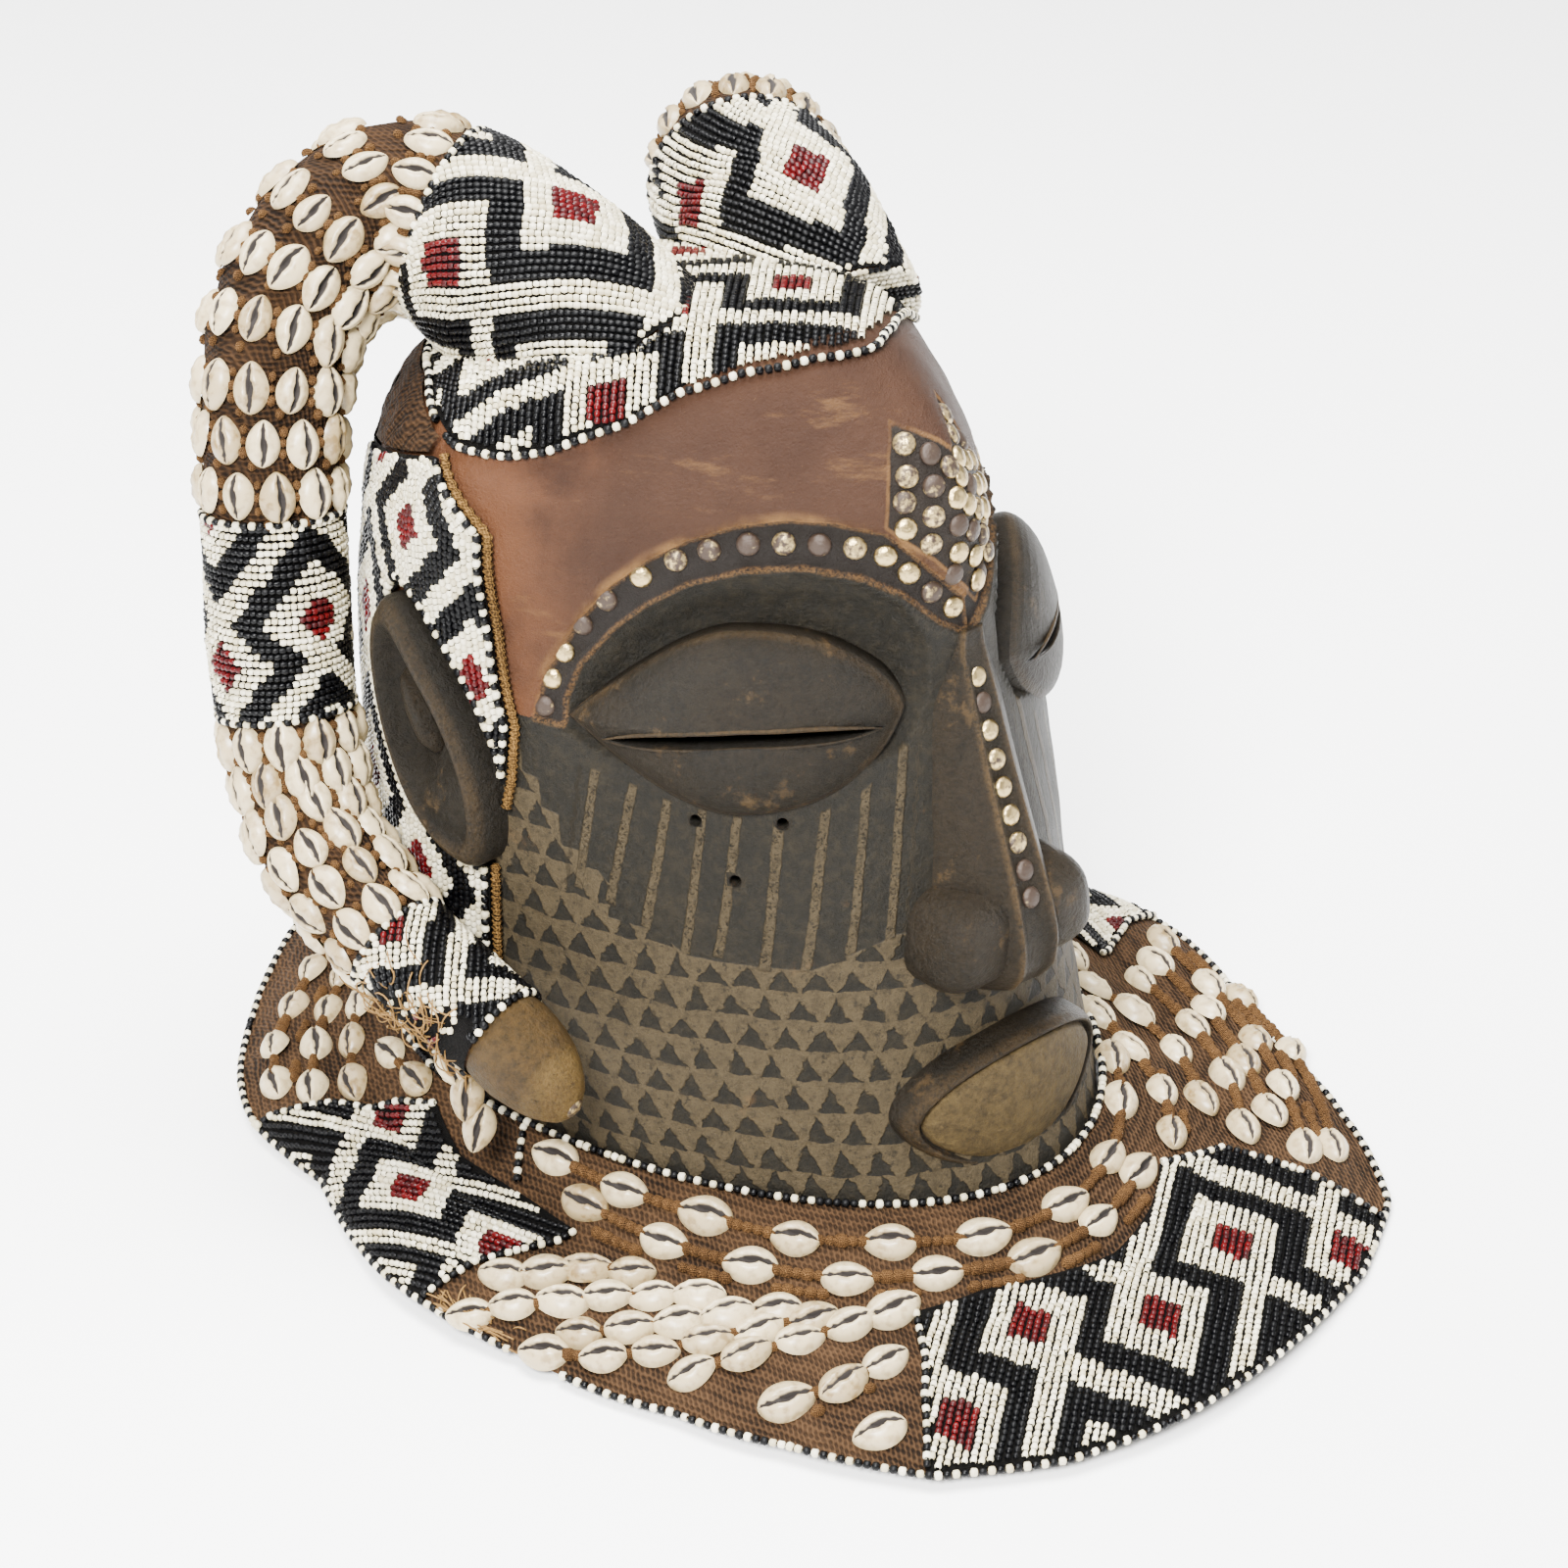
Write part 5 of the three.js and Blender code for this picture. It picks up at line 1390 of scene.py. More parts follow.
@dataclass
class Trunk:
    """One stuffed trunk: cowrie cloth, three beaded sleeves and a wooden tip."""

    side: int
    palette: Palette
    head: HeadShape
    paths: tuple = (
        ((-46, 4, 338), (-50, 33, 353), (-57, 66, 368), (-64, 100, 381), (-79, 119, 385), (-101, 126, 378),
         (-122, 127, 361), (-136, 123, 341), (-144, 118, 317), (-150, 113, 292), (-154, 108, 262),
         (-158, 104, 230), (-161, 98, 198), (-164, 87, 170), (-169, 68, 151), (-169, 41, 137),
         (-167, 14, 125), (-163, -12, 115), (-159, -34, 107)),
        ((46, 0, 336), (50, 24, 350), (57, 48, 363), (65, 73, 373), (80, 91, 373), (99, 103, 362),
         (117, 110, 345), (131, 113, 322), (141, 113, 298), (149, 112, 272), (156, 111, 245), (161, 111, 220),
         (166, 110, 195), (169, 107, 165), (171, 100, 138), (172, 90, 116), (172, 76, 102), (171, 60, 95),
         (169, 42, 92)))
    radius: tuple = (39, 40, 40, 38, 35, 32.5, 30, 28, 27, 26.5, 26.5, 27, 26, 25, 23.5, 22, 21, 20.5, 19.5)
    base: tuple = (0.0, 0.172)
    band: tuple = (0.52, 0.662)
    tip: tuple = (0.877, 1.0)
    steps: int = 360

    def __post_init__(self) -> None:
        """Works out the middle line and its frames."""
        self.name = SIDES[self.side]
        self.line = catmull(np.array(self.paths[0 if self.side < 0 else 1], float), self.steps)
        self.tangent = unit(np.gradient(self.line, axis=0))
        normal = np.array([-self.side, 0.0, 0.0])
        normals = []
        for t in self.tangent:
            normal = unit(normal - t * (normal @ t))
            normals.append(normal)
        self.normal = np.array(normals)
        self.binormal = np.cross(self.tangent, self.normal)
        self.run, self.shares = walked(self.line), np.linspace(0, 1, self.steps + 1)

    def at(self, u: np.ndarray, angle: np.ndarray, lift: np.ndarray) -> tuple[np.ndarray, np.ndarray]:
        """Points round the trunk and their outward directions.

        Args:
            u: Share along the trunk.
            angle: Angle round it.
            lift: Distance above its radius.

        Returns:
            Points and directions.
        """
        u, angle, lift = np.broadcast_arrays(*(np.asarray(v, float) for v in (u, angle, lift)))
        at, turn = np.clip(u, 0, 1).ravel() * self.steps, angle.ravel()[:, None]
        out = unit(pick(self.normal, at) * np.cos(turn) + pick(self.binormal, at) * np.sin(turn))
        points = pick(self.line, at) + out * (self.girth(at / self.steps) + lift.ravel())[:, None]
        return points.reshape(*u.shape, 3), out.reshape(*u.shape, 3)

    def girth(self, u: np.ndarray) -> np.ndarray:
        """Radius at a share along the trunk."""
        return np.interp(u * 18, range(19), self.radius)

    def u_of(self, run: np.ndarray) -> np.ndarray:
        """Share of the parameter at a distance along the middle line."""
        return np.interp(run, self.run, self.shares)

    def length(self, u: np.ndarray) -> np.ndarray:
        """Distance along the middle line."""
        return np.interp(u, self.shares, self.run)

    def skin(self, name: str, span: tuple, lift: float, material: bpy.types.Material, rough: float,
             grid: tuple, closed: bool, bulge: float = 0.0) -> bpy.types.Object:
        """A cloth tube over part of the trunk.

        Args:
            name: Object name.
            span: Start and end.
            lift: Distance above the radius.
            material: Its cloth.
            rough: Height of its unevenness.
            grid: Number of rings along it and of points round it.
            closed: True to close both ends.
            bulge: Extra fullness in its middle.

        Returns:
            The object.
        """
        (u0, u1), (rows, cols) = span, grid
        u, a = np.meshgrid(np.linspace(u0, u1, rows), circle(cols), indexing="ij")
        points, out = self.at(u, a, lift + bulge * np.sin(np.pi * (u - u0) / (u1 - u0)))
        points = points + out * (ripple(points, 31 + self.side, 22.0) * rough)[..., None]
        shell = Shell("tone")
        shell.loft(points, 0, closed, closed)
        return shell.build(name, [material])

    def sleeve(self, part: str, span: tuple, bulge: float, axes: tuple, twist: float | None,
               torn: bool = False) -> None:
        """Makes one beaded sleeve: a cloth tube, its beads and its edging.

        Args:
            part: Name of the sleeve.
            span: Its start and end.
            bulge: Fullness in its middle.
            axes: Start and two directions of the pattern, in millimetres along and round the trunk.
            twist: How far the strings wind round for each millimetre along; None where they run round.
            torn: True where beads are missing.
        """
        work = BeadWork(seed=SEED + len(part) + self.side)
        name = f"{self.name}_{part}"
        u0, u1 = span
        cloth = self.skin(f"{name}_cloth", span, 0.9, self.palette.black_cloth, 0.25, (24, 64), False, bulge)
        shell = Shell("tone")
        run0, run1 = self.length(u0), self.length(u1)
        mean = float(self.girth((u0 + u1) / 2)) + 2
        inverse = np.linalg.inv(np.array(axes[1:], float).T)

        def lift(u: np.ndarray) -> np.ndarray:
            """Height of the beads over the trunk's radius."""
            return 1.5 + bulge * np.sin(np.pi * (u - u0) / (u1 - u0))

        def paint(along: np.ndarray, round_it: np.ndarray) -> np.ndarray:
            """Colours from a distance along the trunk and one round it."""
            round_it = round_it % (2 * math.pi * mean)
            return work.interlace(*(inverse @ np.stack([along - axes[0][0], round_it - axes[0][1]])))

        def kept(along: np.ndarray, round_it: np.ndarray) -> np.ndarray:
            """True where the beads are still there."""
            edge = 118 - 0.42 * along + 4 * np.sin(along * 0.7) + 3 * np.sin(round_it * 0.9)
            return ~(torn & (round_it % (2 * math.pi * mean) > edge)) | (work.rng.random(len(along)) < 0.06)

        if twist is None:
            for along in np.arange(run0 + 1.6, run1 - 1, work.row):
                u = self.u_of(along)
                path, out = self.at(u, np.linspace(0, 2 * np.pi, 73), lift(u))
                work.string(shell, path, out,
                            lambda at: paint(along - run0 + 0 * at, at / 72 * 2 * np.pi * mean))
        else:
            count = int(2 * np.pi * (mean + bulge) / work.row / math.hypot(1, twist))
            u = np.linspace(u0 + 0.002, u1 - 0.003, 60)
            along = self.length(u) - run0
            for k in range(count):
                angle = 2 * np.pi * k / count + twist * along / mean
                path, out = self.at(u, angle, lift(u))

                def where(at: np.ndarray) -> list:
                    """Distances along and round the trunk of positions on the string."""
                    return [np.interp(at, np.arange(60), v) for v in (along, angle * mean)]

                work.string(shell, path, out, lambda at: paint(*where(at)), lambda at: kept(*where(at)))
        reach = self.radius[0] + 1.5
        for aside in np.arange(1.5 - reach, reach - 1, work.row) if u0 == 0 else ():
            half = math.sqrt(reach * reach - aside * aside)
            path = (self.line[0] - self.tangent[0] * 1.4 + self.binormal[0] * aside
                    + np.linspace(-half, half, 24)[:, None] * self.normal[0])
            work.string(shell, path, np.broadcast_to(-self.tangent[0], (24, 3)),
                        lambda at: work.interlace(aside / 10.3 + 0 * at, (at / 11.5 - 1) * half / 10.3))
        beads = shell.build(f"{name}_beads", self.palette.beads)
        trim = Shell("tone")
        edging = Edging(seed=3 + self.side)
        for u in [u1] if part == "trunk_base_sleeve" else [u0, u1]:
            path, out = self.at(u, np.linspace(0, 2 * np.pi, 97), 1.6)
            edging.run(trim, path, out, gaps=((0.72, 1.0),) if torn and u == u1 else ())
        borders = trim.build(f"{name}_edging", self.palette.beads)
        dress([cloth, beads, borders], name)
        pieces = [beads, borders] + ([self.loose_threads(mean)] if torn else [])
        lay_sheet(cloth, 2 * math.pi * mean * MM)

    def loose_threads(self, mean: float) -> bpy.types.Object:
        """Short raffia threads that stand out where beads are lost."""
        rng = np.random.default_rng(SEED + 5 + self.side)
        shell = Shell("tone")
        for _ in range(64):
            along, turn = rng.uniform(12, 50), rng.normal(116, 11) / mean
            way, length = rng.uniform(0, 6.3), rng.uniform(9, 26)
            bend, lift = rng.normal(0, 1.0), rng.uniform(1, 6)
            t = np.linspace(0, 1, 9)
            heading = way + bend * t * 2.2
            du, dr = [np.cumsum(v) * length / 9 for v in (np.cos(heading), np.sin(heading))]
            path, out = self.at(self.u_of(self.length(self.tip[0]) + along + du), turn + dr / mean,
                                1.2 + lift * np.sin(np.pi * t * rng.uniform(0.5, 1.0)))
            shell.loft(tube(path, out, 0.32), tone=rng.random())
        low = self.line[-1] - self.tangent[-1] * 13 + np.array([-4.0, 3.0, -18.0])
        down, ring = np.arange(9), hoop(np.array([0.6, 0, 0]), np.array([0, 0.6, 0]), 5)
        for swing in (-1.0, 1.0):
            path = low + np.stack([swing * np.sin(down * 0.375), 0.0625 * down, -3.2 * down], -1)
            shell.loft((path[:, None] + ring)[::-1], tone=0.4)
        piece = shell.build(f"{self.name}_loose_threads", [self.palette.thread])
        dress([piece])
        return piece

    def cowrie_rows(self) -> None:
        """Sews the cowries and their knots on the bare cloth."""
        cowries = Cowries(seed=40 + self.side)
        shells, knots = Shell("slit", "tone"), Shell("tone")
        number = 0
        for u0, u1 in ((self.base[1], self.band[0]), (self.band[1], self.tip[0])):
            start, end = self.length(u0) + 11, self.length(u1) - 10
            rows = max(2, round((end - start) / 20.5) + 1)
            for row, run in enumerate(np.linspace(start, end, rows)):
                u = self.u_of(run)
                count = max(8, round(2 * np.pi * (self.girth(u) + 1) / 15.6))
                for k in range(count):
                    angle = 2 * np.pi * (k + 0.5 * (row % 2)) / count + 0.1 * math.sin(row * 2.1)
                    spot, out = self.at(u + cowries.rng.normal(0, 0.0012), angle, 0.3)
                    if self.inside_head(spot + out * 3):
                        continue
                    along = self.tangent[int(u * self.steps)]
                    cowries.sew(shells, spot, along, out, 19.8, 13.8, 5.0, fine=self.side < 0)
                    number += 1
                    half = np.pi / count
                    for shift, du in ((half, -0.009), (half, 0.0), (half, 0.009), (half * 0.55, 0.019)):
                        spot, out = self.at(min(u + du, 1), angle + shift, 0.4)
                        if not self.inside_head(spot):
                            cowries.knot(knots, spot, along, out, 3.6)
        for back, low, lean in ((14, 40, 0.1), (8, 51, -0.12), (22, 30, 0.5)) if self.side < 0 else ():
            spot = self.line[-1] - self.tangent[-1] * back + np.array([-4.0, 3.0, -low])
            along, out = np.array([lean, 0.2, -1.0]), np.array([-0.6, -0.7, 0.25])
            cowries.sew(shells, spot, along, out, 20.0, 13.0, 6.0)
        dress([shells.build(f"{self.name}_trunk_cowries", [self.palette.cowrie]),
               knots.build(f"{self.name}_trunk_knots", [self.palette.knots])])
        LOG.info("%s trunk cowries %d", self.name, number)

    @staticmethod
    def inside_head(spot: np.ndarray) -> bool:
        """True where a point is under the crown."""
        return abs(spot[0]) < 90 and spot[1] < 60 and spot[2] < 345

    def wooden_tip(self) -> None:
        """Makes the turned wooden end with one tack."""
        profile = ((0.0, 0.98), (1.0, 1.02), (6, 1.04), (12, 1.03), (18, .98), (24, .89), (29, .78),
                   (34, .62), (37.5, .45), (39.5, .26), (40.2, .1))
        end, tangent = self.line[-1], self.tangent[-1]
        ring = hoop(self.normal[-1], self.binormal[-1], 48) * self.radius[-1]
        rings = np.array([end + tangent * d - np.array([0, 0, 0.004 * d * d]) + ring * k for d, k in profile])
        shell, studs = Shell("wear", "tone"), Shell("tone")
        shell.loft(rings + (ripple(rings, 61, 19.0) * 0.35)[..., None], 0,
                   wear=np.array([[0.2 + 0.6 * (d > 25)] for d, _ in profile]))
        tip = shell.build(f"{self.name}_tip_wood", [self.palette.tip])
        spot = end + tangent * 39 - np.array([0, 0, 6.2])
        Helmet.dome(studs, spot, unit(tangent + np.array([0, 0, -0.15])), 4.6)
        stud = studs.build(f"{self.name}_tip_tack", [self.palette.brass] * 4)
        dress([tip, stud], f"{self.name}_trunk_wooden_tip")

    def make(self) -> None:
        """Builds the whole trunk."""
        near, name = self.side < 0, f"{self.name}_stuffed_trunk"
        stuffed = self.skin(name, (0, 1), 0.0, self.palette.raffia, 0.7, (220, 56), True)
        dress([stuffed], f"{self.name}_trunk")
        axes = ((54.1, -13.9), (-7.4, 7.5), (11.0, 8.1))
        if near:
            axes = ((83.5, 120.3), (-8.45, 7.4), (7.4, 9.5))
        self.sleeve("trunk_base_sleeve", self.base, 1.6, axes, -0.87 if near else -0.8)
        self.sleeve("trunk_middle_band", self.band, 0.0, ((48.9, 24.2), (-6.3, 7.5), (7.5, 6.3)), None)
        self.sleeve("trunk_tip_sleeve", self.tip, 0.0, ((17.6, 110.4), (6.1, -7.7), (5.9, 9.0)), 1.2, near)
        self.cowrie_rows()
        self.wooden_tip()


@dataclass
class Cap:
    """The beaded crown cap between the trunks."""

    head: HeadShape
    palette: Palette
    trunks: Sequence[Trunk]
    low: int = 318

    def __post_init__(self) -> None:
        """Works out the crown's loops, seen from above the hub."""
        s = np.linspace(-1, 1, 721)
        self.loops = []
        for z in range(self.low, TOP + 1):
            p = self.head.point(s, z)[:, :2] - HUB[:2]
            p -= self.head.out(s, z)[:, :2] * 2 * smooth(350, 354, z)
            turn = np.arctan2(p[:, 1], p[:, 0])
            order = np.argsort(turn)
            self.loops.append((turn[order], np.hypot(*p[order].T), s[order]))

    def meridian(self, place: float, lift: float) -> np.ndarray:
        """A line from the cap's edge up to the hub of the crown."""
        z = np.linspace(float(cap_edge(place)), TOP, 60)
        out = self.head.out(place, z)
        path = self.head.point(place, z) - out * (2 * smooth(350, 354, z))[:, None]
        path = np.concatenate([path, mix(path[-1], HUB, np.linspace(0, 1, 12)[1:, None])])
        top = unit(mix(out[-1], np.array([0, 0, 1.0]), 0.7))
        return path + np.concatenate([out, np.broadcast_to(top, (11, 3))]) * lift

    def free(self, points: np.ndarray) -> np.ndarray:
        """True where no trunk covers the cap."""
        held = np.ones(len(points), bool)
        for trunk in self.trunks:
            core = trunk.line[:int(0.2 * trunk.steps):3]
            held &= np.linalg.norm(points[:, None] - core[None], axis=-1).min(1) > 38.5
        return held

    def above(self, plan: np.ndarray) -> tuple[np.ndarray, np.ndarray]:
        """Height of the crown over points of the plan, 0 beside it, and their places round the head."""
        p = plan - HUB[:2]
        turn, reach = np.arctan2(p[:, 1], p[:, 0]), np.hypot(p[:, 0], p[:, 1])
        radii = np.array([np.interp(turn, a, r, period=2 * np.pi) for a, r, _ in self.loops])
        wide, n, last = radii >= reach, np.arange(len(p)), len(self.loops) - 1
        top = np.where(wide.any(0), last - np.argmax(wide[::-1], axis=0), 0)
        upper = np.minimum(top + 1, last)
        share = (radii[top, n] - reach) / np.maximum(radii[top, n] - radii[upper, n], 1e-6)
        z = np.where(wide.any(0), self.low + top + np.clip(share, 0, 1) * (upper > top), 0.0)
        z = np.where(wide[-1], TOP - smooth(0, 1, reach / radii[-1]), z)
        loops = [self.loops[k] for k in top]
        return z, np.array([s[np.argmin(np.abs(a - t))] for t, (a, _, s) in zip(turn, loops)])

    def climb(self, z: np.ndarray, along: np.ndarray) -> np.ndarray:
        """Distance walked over the crown along a line of the plan, from its middle."""
        run = np.concatenate([[0], np.cumsum(np.hypot(1.0, np.diff(np.where(z > 0, z, self.low))))])
        return run - np.interp(0, along, run)

    def make(self) -> None:
        """Builds the cap's cloth, beads and edging."""
        work = BeadWork(seed=19)
        shell, cover, trim = Shell("tone"), Shell("tone"), Shell("tone")
        ex, ey = unit(np.array([7.2, -7.28])), unit(np.array([7.4, 7.2]))
        start = np.array([-41.5, -6.0])
        across, along = np.arange(-190, 190, 1.0), np.arange(-170, 170, 1.0)
        run = self.climb(self.above(start + ex * across[:, None])[0], across)
        for deep in np.arange(-54 * work.row, 60 * work.row, work.row):
            plan = start + ex * float(np.interp(deep, run, across)) + ey * along[:, None]
            z, s = self.above(plan)
            mean = np.convolve(np.pad(z, 3, "edge"), np.full(7, 1 / 7), "valid")
            points = np.concatenate([plan, np.where(z > 0, mix(z, mean, 0.7), 0)[:, None]], -1)
            ok = (z > cap_edge(s) + 1.2) & (z > self.low + 1) & self.free(points)
            climb = self.climb(points[:, 2], along)
            for part in runs_of(ok):
                if len(part) < 3:
                    continue
                strand, far = points[part], climb[part]
                up = unit(np.cross(np.array([*ex, 0.0]), unit(np.gradient(strand, axis=0))))
                up += self.head.out(s[part], np.minimum(z[part], 372)) * smooth(373, 360, z[part])[:, None]
                up = unit(up)
                work.string(shell, strand + up * 1.7, up,
                            lambda at: work.interlace(8.25 + deep / 10.3 + 0 * at,
                                                      8.25 + np.interp(at, np.arange(len(far)), far) / 10.3))
        beads = shell.build("crown_cap_beads", self.palette.beads)
        fine = [self.meridian(float(s), 0.7)[::2] for s in np.linspace(-1, 1, 121)[:-1]]
        cover.loft(np.array(fine).transpose(1, 0, 2), low=False)
        cloth = cover.build("crown_cap_cloth", [self.palette.black_cloth])
        s = np.linspace(-1, 1, 400)
        path = self.head.lifted(s, cap_edge(s) - 0.6, 1.9)
        Edging(seed=5).run(trim, path, self.head.out(s, cap_edge(s)), gaps=((0.225, 0.242),))
        borders = trim.build("crown_cap_edging", self.palette.beads)
        dress([cloth, beads, borders], "crown_cap")
        lay_sheet(cloth, 0.2)


@dataclass
class SidePanel:
    """Beaded sheet round one ear, with edging and a braid along its front."""

    side: int
    head: HeadShape
    palette: Palette
    ear: EarPlan
    back: float = 0.735
    foot: float = 92.0
    lift: float = 3.4

    def on(self, s: np.ndarray, z: np.ndarray, lift: float) -> tuple[np.ndarray, np.ndarray]:
        """Points that stand off the head on this side, and their outward directions."""
        return self.head.lifted(self.side * s, z, lift), self.head.out(self.side * s, z)

    def make(self) -> None:
        """Builds the sheet, beads, edging and braid."""
        name = SIDES[self.side]
        work, edging = BeadWork(seed=29 + self.side), Edging(seed=31 + self.side)
        shell, sheet, trim, rope = Shell("tone"), Shell("tone"), Shell("tone"), Shell("tone")
        for k in range(int((self.back - 0.43) * LOOP_MM / work.row)):
            z = np.linspace(self.foot + 2, 325, 120)
            s = hair_line(z) + (2.2 + k * work.row) / LOOP_MM
            ok = (s < self.back) & (z < panel_top(s) - 1) & self.ear.clear(s, z, 4.5)
            for part in runs_of(ok):
                if len(part) < 4:
                    continue
                ps, pz = s[part], z[part]
                path, out = self.on(ps, pz, self.lift + 1.2)

                def paint(at: np.ndarray) -> np.ndarray:
                    """Colours of nested lozenges that stand on end."""
                    a, b = [np.interp(at, np.arange(len(ps)), v) for v in (ps, pz)]
                    # One step of the pattern is 9 mm round the head and 11.5 mm up.
                    x, y = (251.8 - a * LOOP_MM) / 9.0, (b - 290.2) / 11.5
                    return work.interlace((x - y) * 0.707 + 6.25, (x + y) * 0.707 + 3.75)

                work.string(shell, path, out, paint)
        beads = shell.build(f"{name}_panel_beads", self.palette.beads)
        z, t = np.meshgrid(np.linspace(self.foot, 325, 110), np.linspace(0, 1, 60), indexing="ij")
        s = mix(hair_line(z), self.back, t)
        faces = grid_faces(110, 60, flip=self.side > 0)
        middle = faces[:, [0, 2]]
        sm, zm = s.ravel()[middle].mean(1), z.ravel()[middle].mean(1)
        good = self.ear.clear(sm, zm, 3.0) & (zm < panel_top(sm) + 1)
        sheet.add(self.on(s, np.minimum(z, panel_top(s)), self.lift + 0.2)[0], faces[good])
        cloth = sheet.build(f"{name}_panel_cloth", [self.palette.black_cloth])
        z = np.linspace(self.foot + 2, 322, 160)
        s = hair_line(z) + 0.0035
        for part in runs_of(self.ear.clear(s, z, 4.0)):
            edging.run(trim, *self.on(s[part], z[part], self.lift + 1.6))
        s, z = self.ear.outline(1.02, 5.5, 120)
        for part in runs_of(s > hair_line(z) + 0.004, closed=True):
            edging.run(trim, *self.on(s[part], z[part], self.lift + 1.6))
        borders = trim.build(f"{name}_panel_edging", self.palette.beads)
        z = np.linspace(self.foot, 324, 170)
        s = hair_line(z) - 0.0045
        for part in runs_of(self.ear.clear(s, z, 1.0)):
            path, out = self.on(s[part], z[part], 2.2)
            across = np.cross(unit(np.gradient(path, axis=0)), out)
            ribs = 1 + 0.26 * (-1.0) ** np.arange(len(part))[:, None, None]
            rope.loft(path[:, None] + hoop(out[:, None] * 1.5, across[:, None] * 2.0, 8) * ribs)
        braid = rope.build(f"{name}_braid", [self.palette.braid])
        dress([cloth, beads, borders, braid], f"{name}_side_panel")
        lay_sheet(cloth, 0.13)


@dataclass
class BackCloth:
    """Raffia cloth over the back of the head, between the side panels."""

    head: HeadShape
    palette: Palette

    def piece(self, shell: Shell, s: np.ndarray, z: np.ndarray, waves: tuple, seams: float,
              flip: bool) -> None:
        """Adds one stretch of the cloth.

        Args:
            shell: Takes it.
            s: Places round the head.
            z: Heights.
            waves: Seed and width of its unevenness.
            seams: Height of its folds.
            flip: True to turn its faces over.
        """
        points = self.head.lifted(s, z, 3.6)
        rise = ripple(points, *waves) * 0.6 + seams * np.sin(z * 0.9 + s * 30)
        shell.add(points + self.head.out(s, z) * rise[..., None], grid_faces(*s.shape, flip=flip))

    def make(self) -> None:
        """Builds the cloth."""
        shell = Shell("tone")
        t, s = np.meshgrid(np.linspace(0, 1, 110), np.linspace(0.745, 1.255, 110), indexing="ij")
        z = mix(86.0, cap_edge(np.where(s > 1, 2 - s, s)) - 2, t)
        self.piece(shell, s, z, (51, 24.0), 0.3, False)
        for way in (-1, 1):
            t, s = np.meshgrid(np.linspace(0, 1, 24), np.linspace(0.56, 0.745, 40), indexing="ij")
            z = mix(panel_top(s) + 1.5, cap_edge(s) - 2, t)
            self.piece(shell, way * s, z, (53, 14.0), 0, way < 0)
        cloth = shell.build("back_of_head_cloth", [self.palette.raffia])
        dress([cloth], "back_cloth")
        lay_sheet(cloth, 0.3)


@dataclass
class PanelPlan:
    """Outline of a collar panel, by direction in degrees and millimetres from the neck, and its pattern."""

    starts: tuple
    ends: tuple
    inner: tuple
    axes: tuple
    strings: int = 2
    edged: bool = False

    def start(self, mm: np.ndarray) -> np.ndarray:
        """Direction of the first border."""
        return line(*np.array(self.starts, float).T, mm)

    def end(self, mm: np.ndarray) -> np.ndarray:
        """Direction of the last border."""
        return line(*np.array(self.ends, float).T, mm)

    def first(self, deg: np.ndarray) -> np.ndarray:
        """How far out the panel starts."""
        return line(*np.array(self.inner, float).T, deg)

    def holds(self, deg: np.ndarray, mm: np.ndarray, spare: float) -> np.ndarray:
        """True inside the outline, grown by spare millimetres."""
        deg = np.where(deg < self.starts[0][1] - 90, deg + 360, deg)
        grow = spare * 57.3 / 210
        return (deg > self.start(mm) - grow) & (deg < self.end(mm) + grow) & (mm > self.first(deg) - spare)


